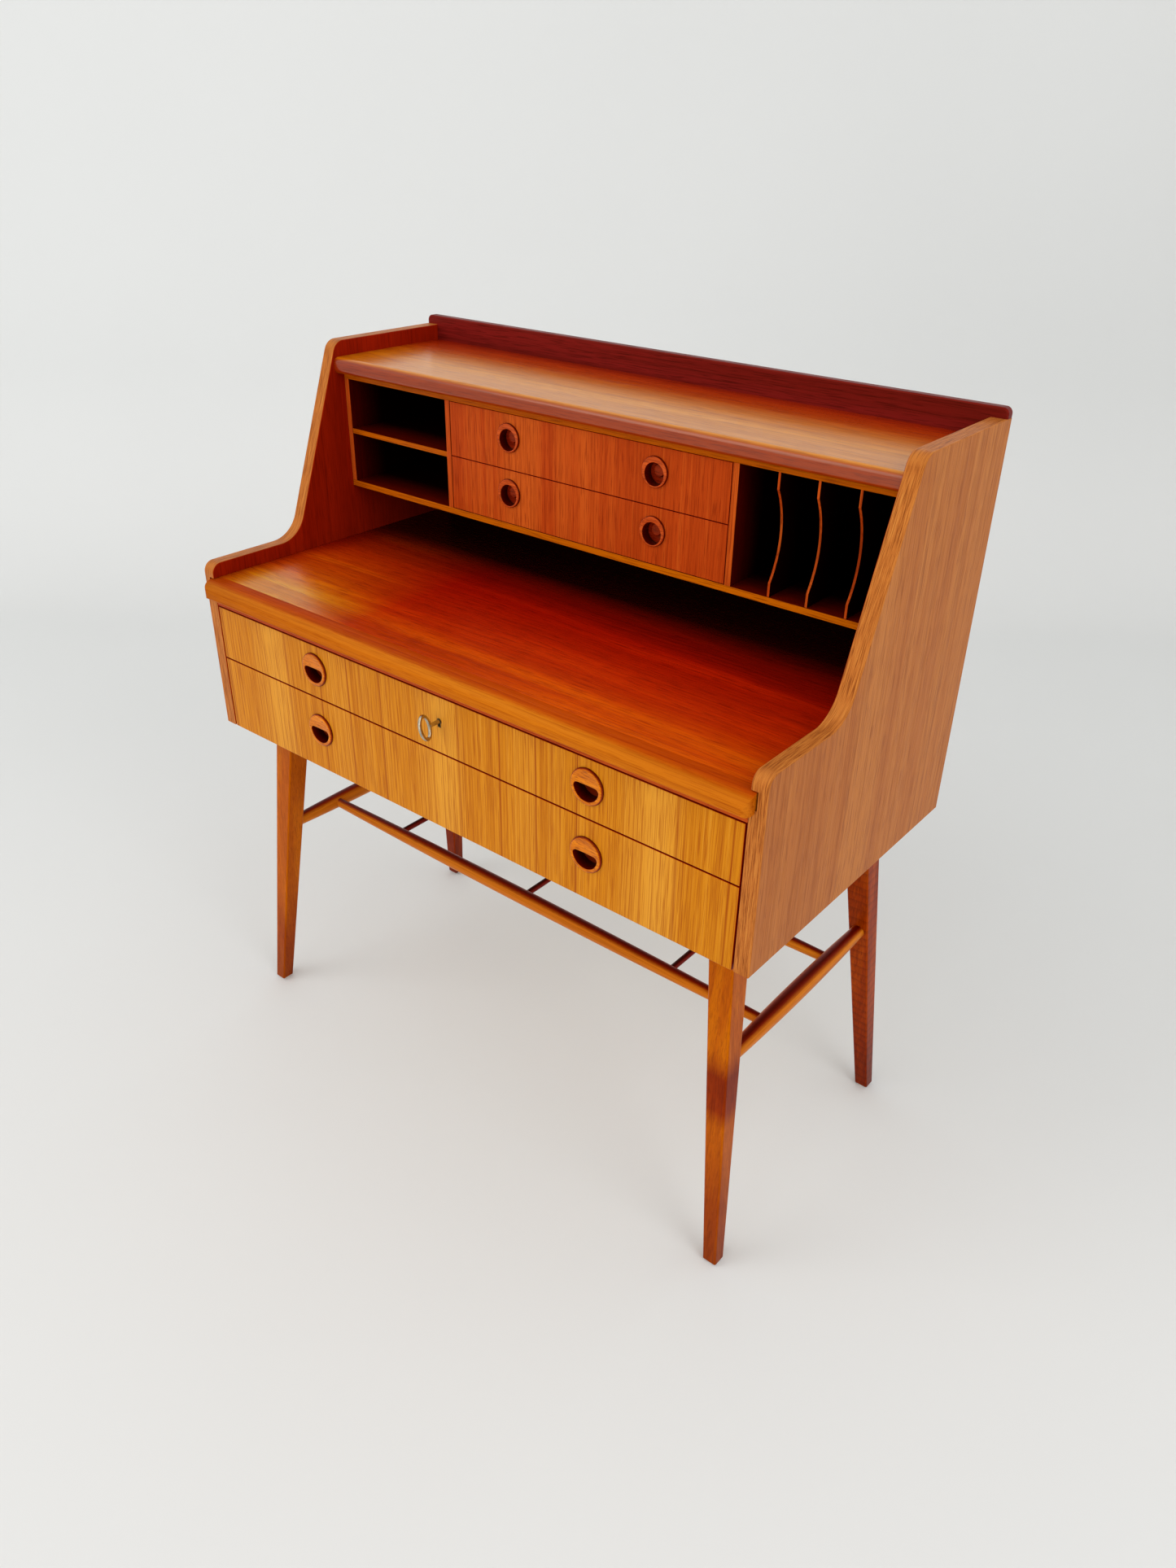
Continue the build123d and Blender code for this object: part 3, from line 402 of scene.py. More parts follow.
        reading = facing["xyz".index(source)] if source in "xyz" else axes["XYZ".index(source)]
        low, high = (choose(place for place, tint in tints) for choose in (min, max))
        level = add(tree, "ShaderNodeMapRange", None, {"Value": reading, "From Min": low, "From Max": high})
        stops = [((place - low) / (high - low), linear(tint)) for place, tint in tints]
        ramp = add(tree, "ShaderNodeValToRGB", {"stops": stops}, {0: level.outputs[0]})
        paint = add(
            tree, "ShaderNodeMixRGB", {"blend_type": "MULTIPLY"}, {0: 1.0, 1: paint, 2: ramp.outputs[0]}
        ).outputs[0]
    rough = add(
        tree,
        "ShaderNodeMapRange",
        None,
        {
            "Value": marks["fine"],
            "From Min": 0.3,
            "From Max": 0.7,
            "To Min": roughness + 0.06,
            "To Max": roughness - 0.04,
        },
    )
    relief = add(
        tree,
        "ShaderNodeBump",
        {"invert": True},
        {"Strength": 0.2, "Distance": PORE_DEPTH, "Height": marks["pore"]},
    )
    surface = add(
        tree,
        "ShaderNodeBsdfPrincipled",
        None,
        {
            "Base Color": paint,
            "Roughness": rough.outputs[0],
            "IOR": 1.5,
            "Specular IOR Level": gloss,
            "Specular Tint": linear(sheen),
            "Normal": relief.outputs[0],
        },
    )
    add(tree, "ShaderNodeOutputMaterial", None, {"Surface": surface.outputs[0]})
    return material


def metal(name, colour, roughness):
    """A plated or stamped metal, with rubbing marks and dull patches.

    Real rubbing marks are hundredths of a millimetre wide, too fine to show, so they are drawn 0.6 mm wide.
    """
    wide, long = 0.0006, 0.02
    patch, dull = 0.006, 0.35
    colours = bpy.context.scene.desk_colours
    material, tree = new_material(name)
    where = add(tree, "ShaderNodeTexCoord").outputs["Object"]
    rubbed = add(tree, "ShaderNodeMapping", None, {"Vector": where, "Scale": (1 / wide, 1 / wide, 1 / long)})
    lines = add(tree, "ShaderNodeTexNoise", None, {"Vector": rubbed.outputs[0], "Scale": 1.0, "Detail": 3.0})
    patches = add(tree, "ShaderNodeTexNoise", None, {"Vector": where, "Scale": 1 / patch, "Detail": 4.0})
    spots = add(tree, "ShaderNodeMapRange", None,
                {"Value": patches.outputs[0], "From Min": 0.5, "From Max": 0.75, "To Max": dull})
    base = add(tree, "ShaderNodeMixRGB", None,
               {0: spots.outputs[0], 1: tuple(getattr(colours, colour)), 2: tuple(colours.tarnish)})
    rough = add(tree, "ShaderNodeMapRange", None,
                {"Value": lines.outputs[0], "To Min": roughness - 0.08, "To Max": roughness + 0.14})
    relief = add(tree, "ShaderNodeBump", None,
                 {"Strength": 0.2, "Distance": 0.0001, "Height": lines.outputs[0]})
    surface = add(
        tree,
        "ShaderNodeBsdfPrincipled",
        None,
        {
            "Base Color": base.outputs[0],
            "Metallic": 1.0,
            "Roughness": rough.outputs[0],
            "Normal": relief.outputs[0],
        },
    )
    add(tree, "ShaderNodeOutputMaterial", None, {"Surface": surface.outputs[0]})
    return material


def glide_plastic():
    """Pale moulded plastic, scuffed by the floor: off-white and matt, with grey specks."""
    speck = 0.002
    colours = bpy.context.scene.desk_colours
    material, tree = new_material("glide_plastic_moulded")
    where = add(tree, "ShaderNodeTexCoord").outputs["Object"]
    scuffs = add(tree, "ShaderNodeTexNoise", None, {"Vector": where, "Scale": 1 / speck, "Detail": 5.0})
    dirt = add(tree, "ShaderNodeMapRange", None,
               {"Value": scuffs.outputs[0], "From Min": 0.45, "From Max": 0.8, "To Max": 0.5})
    base = add(tree, "ShaderNodeMixRGB", None,
               {0: dirt.outputs[0], 1: tuple(colours.glide), 2: tuple(colours.tarnish)})
    rough = add(tree, "ShaderNodeMapRange", None, {"Value": scuffs.outputs[0], "To Min": 0.45, "To Max": 0.7})
    relief = add(tree, "ShaderNodeBump", None,
                 {"Strength": 0.2, "Distance": 0.0002, "Height": scuffs.outputs[0]})
    surface = add(tree, "ShaderNodeBsdfPrincipled", None,
                  {"Base Color": base.outputs[0], "Roughness": rough.outputs[0], "Normal": relief.outputs[0]})
    add(tree, "ShaderNodeOutputMaterial", None, {"Surface": surface.outputs[0]})
    return material


def dress(material, *nodes):
    """Give pieces of the desk their material."""
    for node in nodes:
        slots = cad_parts[node].data.materials
        slots.clear()
        slots.append(material)


def repeat(name, points, tree, values, body):
    """Run a geometry tree on a set of points and keep its result as a plain piece."""
    mesh = bpy.data.meshes.new(f"{name}_places")
    mesh.from_pydata(points, [], [])
    piece = bpy.data.objects.new(name, mesh)
    bpy.context.scene.collection.objects.link(piece)
    modifier = piece.modifiers.new("repeat", "NODES")
    modifier.node_group = tree
    sockets = {item.name: item.identifier for item in tree.interface.items_tree if item.in_out == "INPUT"}
    for label, value in values.items():
        modifier[sockets[label]] = value
    bpy.context.view_layer.update()
    graph = bpy.context.evaluated_depsgraph_get()
    made = bpy.data.meshes.new_from_object(piece.evaluated_get(graph))
    if not made.polygons:
        raise RuntimeError(f"{name} has no faces")
    piece.modifiers.remove(modifier)
    piece.data = made
    made.name = name
    bpy.data.meshes.remove(mesh)
    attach(piece, body)
    return piece


def new_tree(name, inputs):
    """An empty geometry tree with named inputs, and the sockets that give them."""
    tree = bpy.data.node_groups.new(name, "GeometryNodeTree")
    tree.interface.new_socket("Geometry", in_out="OUTPUT", socket_type="NodeSocketGeometry")
    tree.interface.new_socket("Geometry", in_out="INPUT", socket_type="NodeSocketGeometry")
    for label, kind in inputs.items():
        tree.interface.new_socket(label, in_out="INPUT", socket_type=kind)
    return tree, tree.nodes.new("NodeGroupInput").outputs


def close_tree(tree, geometry, material):
    """End a geometry tree with real faces and one material."""
    real = add(tree, "GeometryNodeRealizeInstances", None, {0: geometry})
    painted = add(tree, "GeometryNodeSetMaterial", None, {"Geometry": real.outputs[0], "Material": material})
    add(tree, "NodeGroupOutput", None, {0: painted.outputs[0]})


def screw_tree():
    """Slotted screws with domed heads that face the back of the desk, one at each point."""
    inputs = {
        "Head radius": "NodeSocketFloat",
        "Head height": "NodeSocketFloat",
        "Shank length": "NodeSocketFloat",
        "Seed": "NodeSocketInt",
        "Material": "NodeSocketMaterial",
    }
    tree, given = new_tree("slotted_screws", inputs)
    ball = add(tree, "GeometryNodeMeshUVSphere", None, {"Segments": 24, "Rings": 12, "Radius": 1.0})
    size = add(
        tree,
        "ShaderNodeCombineXYZ",
        None,
        {0: given["Head radius"], 1: given["Head radius"], 2: given["Head height"]},
    )
    dome = add(tree, "GeometryNodeTransform", None, {"Geometry": ball.outputs[0], "Scale": size.outputs[0]})
    # In head sizes: a block takes away the ball's lower half, and a groove cuts the slot.
    cube = add(tree, "GeometryNodeMeshCube", None, {"Size": (3, 3, 2)})
    under = add(
        tree,
        "GeometryNodeTransform",
        None,
        {"Geometry": cube.outputs[0], "Scale": size.outputs[0]},
    )
    lower = add(tree, "ShaderNodeMath", {"operation": "MULTIPLY"}, {0: given["Head height"], 1: -1.0})
    drop = add(tree, "ShaderNodeCombineXYZ", None, {2: lower.outputs[0]})
    under = add(
        tree, "GeometryNodeTransform", None, {"Geometry": under.outputs[0], "Translation": drop.outputs[0]}
    )
    groove = add(tree, "GeometryNodeMeshCube", None, {"Size": (3, 0.3, 1)})
    groove = add(
        tree, "GeometryNodeTransform", None, {"Geometry": groove.outputs[0], "Scale": size.outputs[0]}
    )
    lift = add(tree, "ShaderNodeCombineXYZ", None, {2: given["Head height"]})
    groove = add(
        tree, "GeometryNodeTransform", None, {"Geometry": groove.outputs[0], "Translation": lift.outputs[0]}
    )
    head = add(
        tree,
        "GeometryNodeMeshBoolean",
        {"operation": "DIFFERENCE"},
        {"Mesh 1": dome.outputs[0], "Mesh 2": [under.outputs[0], groove.outputs[0]]},
    )
    thin = add(tree, "ShaderNodeMath", {"operation": "MULTIPLY"}, {0: given["Head radius"], 1: SHANK_SHARE})
    shank = add(
        tree,
        "GeometryNodeMeshCylinder",
        None,
        {"Vertices": 12, "Radius": thin.outputs[0], "Depth": given["Shank length"]},
    )
    half = add(tree, "ShaderNodeMath", {"operation": "MULTIPLY"}, {0: given["Shank length"], 1: -0.5})
    sink = add(tree, "ShaderNodeCombineXYZ", None, {2: half.outputs[0]})
    shank = add(
        tree, "GeometryNodeTransform", None, {"Geometry": shank.outputs[0], "Translation": sink.outputs[0]}
    )
    screw = add(tree, "GeometryNodeJoinGeometry", None, {0: [head.outputs[0], shank.outputs[0]]})
    placed = add(
        tree,
        "GeometryNodeInstanceOnPoints",
        None,
        {"Points": given["Geometry"], "Instance": screw.outputs[0], "Rotation": (-math.pi / 2, 0, 0)},
    )
    turn = add(
        tree, "FunctionNodeRandomValue", {"data_type": "FLOAT"}, {"Max": math.pi, "Seed": given["Seed"]}
    )
    spin = add(
        tree,
        "ShaderNodeCombineXYZ",
        None,
        {2: next(out for out in turn.outputs if out.enabled)},
    )
    turned = add(
        tree,
        "GeometryNodeRotateInstances",
        None,
        {"Instances": placed.outputs[0], "Rotation": spin.outputs[0], "Local Space": True},
    )
    close_tree(tree, turned.outputs[0], given["Material"])
    return tree


def tail_tree():
    """Dovetails in the ends of a drawer front, nearly level with its sides, one at each point."""
    inputs = {
        "Wide": "NodeSocketFloat",
        "Narrow": "NodeSocketFloat",
        "Length": "NodeSocketFloat",
        "Thickness": "NodeSocketFloat",
        "Material": "NodeSocketMaterial",
    }
    tree, given = new_tree("dovetails", inputs)
    diagonal = math.sqrt(0.5)
    wide = add(tree, "ShaderNodeMath", {"operation": "MULTIPLY"}, {0: given["Wide"], 1: diagonal})
    narrow = add(tree, "ShaderNodeMath", {"operation": "MULTIPLY"}, {0: given["Narrow"], 1: diagonal})
    wedge = add(
        tree,
        "GeometryNodeMeshCone",
        None,
        {
            "Vertices": 4,
            "Radius Top": narrow.outputs[0],
            "Radius Bottom": wide.outputs[0],
            "Depth": given["Length"],
        },
    )
    square = add(
        tree, "GeometryNodeTransform", None, {"Geometry": wedge.outputs[0], "Rotation": (0, 0, math.pi / 4)}
    )
    flat = add(tree, "ShaderNodeMath", {"operation": "DIVIDE"}, {0: given["Thickness"], 1: given["Wide"]})
    squeeze = add(tree, "ShaderNodeCombineXYZ", None, {0: flat.outputs[0], 1: 1.0, 2: 1.0})
    plate = add(
        tree, "GeometryNodeTransform", None, {"Geometry": square.outputs[0], "Scale": squeeze.outputs[0]}
    )
    placed = add(
        tree,
        "GeometryNodeInstanceOnPoints",
        None,
        {"Points": given["Geometry"], "Instance": plate.outputs[0], "Rotation": (-math.pi / 2, 0, 0)},
    )
    close_tree(tree, placed.outputs[0], given["Material"])
    return tree


class DESK_OT_carcass(bpy.types.Operator):
    """Finish the boards of the carcass"""

    bl_idname = "desk.carcass"
    bl_label = "Carcass"

    def execute(self, context):
        # Upright teak veneer under satin lacquer: straight brown lines and a solid edge, with painted shade
        # that makes the inner faces redder.
        panel = dict(figure=(0.05, 2.2), edges="lip", roughness=0.4)
        inner = "#CD4A34"
        for side, seed, tint in (
            ("left", 1.7, [(0.4, PLAIN), (0.6, inner)]),
            ("right", 4.1, [(-0.6, inner), (-0.4, PLAIN)]),
        ):
            veneer = wood(f"teak_veneer_{side}_panel", "Z", "side", seed=seed, shade=[("x", tint)], **panel)
            dress(veneer, f"{side}_side_panel")
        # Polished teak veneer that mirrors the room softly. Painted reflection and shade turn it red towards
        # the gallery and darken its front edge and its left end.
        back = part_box("gallery_rail")[0].y
        tinted = [
            ("Y", [
                (back - 0.14, PLAIN), (back - 0.092, "#F4D9C0"), (back - 0.06, "#E79C80"),
                (back - 0.044, "#D77C70"), (back - 0.028, "#CD6960"), (back - 0.01, "#BF4E50"),
            ]),
            ("y", [(-0.8, "#B06444"), (-0.3, PLAIN)]),
            ("X", [(-0.44, "#F0D4CC"), (-0.3, PLAIN)]),
        ]
        top = wood(
            "teak_veneer_top", "X", "top", seed=2.3, gloss=0.6, roughness=0.2, sheen="#FFF8E0", shade=tinted
        )
        dress(top, "top_board")
        # Solid teak, stained: a dark red-brown with faint lines.
        dress(wood("teak_solid_gallery", "X", "rail", seed=3.1), "gallery_rail")
        # Solid teak: an orange strip with fine lines along it.
        dress(wood("teak_solid_rail", "X", "small", seed=3.9), "front_rail")
        # Stained board: dull brown fibres, with painted shade that makes the side closing the compartments
        # nearly black.
        back_face_shade = ("y", [(-0.6, "#402420"), (-0.4, PLAIN)])
        dress(wood("back_board_stained", "X", "board", seed=5.2, shade=[back_face_shade], **DULL_BOARD), "back_panel")
        # Unfinished hardwood: pale, dry and matt.
        dress(wood("carcass_hardwood", "X", "box", seed=6.4, **DULL_BOARD), "bottom_board")
        runners = wood("runner_hardwood", "Y", "box", seed=7.0, **DULL_BOARD)
        dress(runners, "upper_drawer_runners", "lower_drawer_runners")
        return {"FINISHED"}


class DESK_OT_compartments(bpy.types.Operator):
    """Finish the cabinet of compartments above the leaf"""

    bl_idname = "desk.compartments"
    bl_label = "Compartments"

    def execute(self, context):
        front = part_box("insert_top")[0].y
        # Painted shade inside the compartments: darker with depth, on the sides of the uprights and on upward
        # faces.
        dark = ("Y", [(front + 0.002, PLAIN), (front + 0.06, "#401C18")])
        wall_shade = ("x", [(-0.8, "#6A2418"), (-0.4, PLAIN), (0.4, PLAIN), (0.8, "#6A2418")])
        floors = ("z", [(0.4, PLAIN), (0.8, "#8A3424")])
        # Teak veneer with its grain across: orange front edges, with painted shade that darkens the boards
        # with depth and on their upward faces.
        level = wood("teak_veneer_insert_boards", "X", "leg", seed=8.8, shade=[dark, floors])
        # Teak veneer with its grain upright: reddish edges, with painted shade that darkens them with depth
        # and on their sides.
        upright = wood("teak_veneer_insert_walls", "Z", "small", seed=9.3, shade=[dark, wall_shade])
        # Thin teak whose faces take the painted side shade twice, so they are nearly black: the hollowed
        # edges show as orange lines.
        thin = wood("teak_letter_dividers", "Z", "small", seed=9.9, shade=[dark, wall_shade, wall_shade], wear=0.0)
        dress(level, "insert_bottom", "insert_top", "pigeonhole_shelf")
        for name in ("left_wall", "right_wall", "left_divider", "right_divider"):
            dress(upright, f"insert_{name}")
        for number in (1, 2, 3):
            dress(thin, f"letter_divider_{number}")
        # Stained board: dull and brown.
        dress(wood("dust_board", "X", "board", seed=1.1, **DULL_BOARD), "small_drawer_dust_shelf")
        return {"FINISHED"}


class DESK_OT_writing_leaf(bpy.types.Operator):
    """Finish the writing leaf and its nosing"""

    bl_idname = "desk.writing_leaf"
    bl_label = "Writing leaf"

    def execute(self, context):
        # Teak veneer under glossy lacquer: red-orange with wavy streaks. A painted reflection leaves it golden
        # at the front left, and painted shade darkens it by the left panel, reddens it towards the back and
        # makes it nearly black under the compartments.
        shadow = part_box("insert_bottom")[0].y
        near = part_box("writing_leaf")[0].y + 0.04
        deep = [
            ("X", [
                (-0.45, "#D88878"), (-0.40, PLAIN), (-0.32, PLAIN), (-0.18, "#E47468"), (0.0, "#E87E70"),
                (0.2, "#F08A7C"), (0.4, "#F09080"),
            ]),
            ("Y", [
                (near, PLAIN), (near + 0.04, "#F8BAAC"), (near + 0.08, "#EE9488"), (near + 0.16, "#E2685C"),
                (shadow, "#AA4030"), (shadow + 0.06, "#3F1919"),
            ]),
        ]
        leaf = wood(
            "teak_veneer_leaf", "X", "leaf", figure=(0.04, 0.7), wander=0.02, contrast=0.2, rings=0.5, seed=6.1,
            gloss=0.3, roughness=0.24, sheen="#FFF0C0", shade=deep,
        )
        dress(leaf, "writing_leaf")
        # Solid teak, rounded by a plane: an even golden edge, with painted shade that darkens its left end and
        # reddens it where it turns up to the leaf.
        over = [
            ("X", [
                (-0.46, "#CFA890"), (-0.36, "#E0B890"), (-0.1, "#EAC294"), (0.15, "#EECA98"), (0.4, "#E8C094"),
            ]),
            ("z", [(0.84, PLAIN), (0.95, "#F3BCB0"), (1.0, "#F3B4A8")]),
        ]
        nosing = wood(
            "teak_solid_nosing", "X", "front", seed=6.8, pores=0.3, line=0.3, gloss=0.02, roughness=0.3,
            shade=over,
        )
        dress(nosing, "leaf_nosing")
        # Stained beech: a brown peg with faint lines.
        dress(wood("beech_peg", "Z", "leg", seed=0.4, wear=0.0), "leaf_stop_pegs")
        return {"FINISHED"}


class DESK_OT_drawers(bpy.types.Operator):
    """Finish the fronts and boxes of the drawers"""

    bl_idname = "desk.drawers"
    bl_label = "Drawers"

    def execute(self, context):
        # Painted shade on the fronts' end and edge faces, which sit in the dark gaps between them.
        edges = [(way, [(-0.8, "#B83020"), (-0.4, PLAIN), (0.4, PLAIN), (0.8, "#B83020")]) for way in "xz"]
        # Matched teak veneer: golden bands and dark streaks that come again in each leaf, with painted shade
        # that turns the edge faces dark red, as in the gaps between the fronts.
        long_front = wood(
            "teak_veneer_long_fronts", "Z", "front", figure=(0.045, 3.0), ring=(0.008, 0.6), fine=(0.0020, 0.4),
            pore=(0.0009, 0.06), matched=True, seed=2.9, contrast=0.1, rings=0.5, pores=0.48, line=0.4,
            crisp=0.75, shade=edges, wear=0.0,
        )
        # Teak veneer: straight close lines, redder than on the long fronts, with the same painted shade on its
        # edge faces.
        small_front = wood(
            "teak_veneer_small_fronts", "Z", "small", figure=(0.04, 2.0), seed=5.6, shade=edges, wear=0.0
        )
        # Beech and thin board, barely finished: pale, fine in the grain and half matt.
        sides = wood("beech_drawer_sides", "Y", "box", seed=1.9, **DRAWER_BOX)
        backs = wood("beech_drawer_backs", "X", "box", seed=2.2, **DRAWER_BOX)
        floors = wood("drawer_floor_board", "X", "box", seed=3.3, **DRAWER_BOX)
        for name in DRAWERS:
            dress(long_front if "long" in name else small_front, f"{name}_front")
            dress(sides, f"{name}_sides")
            dress(backs, f"{name}_back")
            dress(floors, f"{name}_bottom")
        return {"FINISHED"}


class DESK_OT_pulls(bpy.types.Operator):
    """Finish the turned pulls"""

    bl_idname = "desk.pulls"
    bl_label = "Pulls"

    def execute(self, context):
        # Turned and polished teak: glossy rims with fine lines across them, with painted shade that darkens
        # the hollows with depth and the sides of the rims.
        for at, name in enumerate(DRAWERS):
            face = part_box(f"{name}_front")[0].y
            tone, deep = ("knob", "#B87060") if "small" in name else ("pull", "#8A4840")
            hollow_shade = [
                ("y", [(-0.95, PLAIN), (-0.75, "#B05838"), (-0.3, "#701C10")]),
                ("Y", [(face - 0.001, PLAIN), (face + 0.008, deep)]),
            ]
            turned = wood(
                f"teak_turned_{name}_pulls", "X", tone, fine=(0.0016, 0.05), ring=(0.004, 0.1),
                pore=(0.0014, 0.010), figure=(0.012, 0.2), seed=1.3 + at, roughness=0.3, gloss=0.5,
                shade=hollow_shade, wear=0.0, wander=0.002,
            )
            dress(turned, f"{name}_pulls")
        return {"FINISHED"}


class DESK_OT_lock(bpy.types.Operator):
    """Finish the lock and its key"""

    bl_idname = "desk.lock"
    bl_label = "Lock and key"

    def execute(self, context):
        # Nickel plate: a bright, warm grey with dull spots.
        dress(metal("nickel_plate_key", "nickel", 0.18), "key")
        # Stamped steel: grey and half matt.
        dress(metal("steel_stamped_lock", "steel", 0.42), "lock_case", "lock_bolt", "strike_plate")
        # Old brass: a dark brownish ring.
        dress(metal("brass_keyhole_liner", "brass", 0.35), "escutcheon")
        return {"FINISHED"}


class DESK_OT_base(bpy.types.Operator):
    """Finish the legs, stretchers, rungs and glides"""

    bl_idname = "desk.base"
    bl_label = "Base"

    def execute(self, context):
        # Stained beech: brown with fine lines, darker at the feet. The front right leg has a dark mark, and the
        # rear right one shows its rings as crescents.
        cut = dict(
            fine=(0.0024, 0.2), ring=(0.007, 0.5), figure=(0.018, 0.5), pores=0.4, line=0.3, wander=0.01,
            roughness=0.34,
        )
        foot = [(0.0, "#C0A088"), (0.10, "#D8BCA4"), (0.20, PLAIN)]
        dark_band = [(0.225, PLAIN), (0.25, "#C48C6C"), (0.30, "#B4785C"), (0.335, PLAIN)]
        for at, (name, tone, extra) in enumerate((
            ("front_left_leg", "leg", {"shade": [("Z", foot)]}),
            ("front_right_leg", "leg", {"shade": [("Z", foot), ("Z", dark_band)]}),
            ("rear_left_leg", "rear", {"shade": [("Z", foot)]}),
            ("rear_right_leg", "rear", {"crescents": 0.014, "shade": [("Z", foot)]}),
        )):
            dress(wood(f"beech_stained_{name}", "Z", tone, seed=1.0 + 2.7 * at, **cut, **extra), name)
        # Turned teak: smooth and orange, with painted shade that makes its upper side dark red. The rungs are
        # darker all round.
        top_side_shade = ("z", [(0.6, PLAIN), (0.9, "#A04828"), (1.0, "#702018")])
        bar = dict(
            shade=[top_side_shade], ring=(0.006, 0.5), figure=(0.012, 0.8), pores=0.25, line=0.2, roughness=0.32,
            wear=0.0,
        )
        side = wood("teak_turned_side_stretchers", "Y", "bar", seed=2.0, **bar)
        dress(side, "left_side_stretcher", "right_side_stretcher")
        long_bars = wood("teak_turned_long_stretchers", "X", "bar", seed=3.0, **bar)
        dress(long_bars, "front_stretcher", "rear_stretcher")
        dress(wood("teak_turned_rungs", "Y", "rail", seed=4.0, **bar), "rack_rungs")
        dress(glide_plastic(), "leg_glides")
        # Zinc-plated steel: grey and half matt.
        dress(metal("steel_zinc_leg_bolts", "steel", 0.4), "leg_bolts")
        return {"FINISHED"}


class DESK_OT_screws(bpy.types.Operator):
    """Put slotted screws in the back panel and the lock"""

    bl_idname = "desk.screws"
    bl_label = "Screws"

    def execute(self, context):
        sizes = context.scene.desk_sizes
        tree = screw_tree()
        # Steel: grey and half matt, with dull spots.
        steel = metal("steel_slotted_screws", "steel", 0.38)
        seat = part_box("back_panel")[1].y
        low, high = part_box("back_panel_screws")
        reach = sizes.screw_radius
        columns = 5
        step = (high.x - low.x - 2 * reach) / (columns - 1)
        places = [
            (low.x + reach + column * step, seat, z)
            for z in (low.z + reach, high.z - reach)
            for column in range(columns)
        ]
        values = {
            "Head radius": sizes.screw_radius,
            "Head height": sizes.screw_height,
            "Shank length": sizes.screw_length,
            "Seed": context.scene.desk_studio.seed,
            "Material": steel,
        }
        back = repeat("back_screws", places, tree, values, "carcass")
        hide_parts("back_panel_screws")
        low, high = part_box("lock_case")
        inset = 0.006
        places = [
            (x, high.y, z) for x in (low.x + inset, high.x - inset) for z in (low.z + inset, high.z - inset)
        ]
        values.update({
            "Head radius": sizes.lock_screw_radius,
            "Head height": sizes.lock_screw_height,
            "Shank length": high.y - low.y,
            "Seed": context.scene.desk_studio.seed + 1,
        })
        repeat("lock_screws", places, tree, values, "upper_long_drawer")
        return {"FINISHED"}


class DESK_OT_dovetails(bpy.types.Operator):
    """Show the dovetails of the drawer sides in the ends of the fronts"""

    bl_idname = "desk.dovetails"
    bl_label = "Dovetails"

    def execute(self, context):
        sizes = context.scene.desk_sizes
        tree = tail_tree()
        # Beech, cut at the end of a drawer's side: pale wedges in the darker front.
        pale = wood("beech_dovetails", "Y", "box", seed=1.9, **DRAWER_BOX)
        for name in DRAWERS:
            front_low, front_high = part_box(f"{name}_front")
            side_low, side_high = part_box(f"{name}_sides")
            thickness = 2 * (side_high.x - front_high.x) * TAIL_SHARE
            height = side_high.z - side_low.z
            count = int(height / sizes.tail_pitch)
            first = (side_low.z + side_high.z) / 2 - (count - 1) * sizes.tail_pitch / 2
            y = front_high.y - sizes.tail_length / 2
            places = [
                (x, y, first + at * sizes.tail_pitch)
                for x in (front_low.x, front_high.x)
                for at in range(count)
            ]
            values = {
                "Wide": sizes.tail_width,
                "Narrow": sizes.tail_width * TAIL_NECK,
                "Length": sizes.tail_length,
                "Thickness": thickness,
                "Material": pale,
            }
            repeat(f"{name}_dovetails", places, tree, values, f"{name}_drawer")
        return {"FINISHED"}


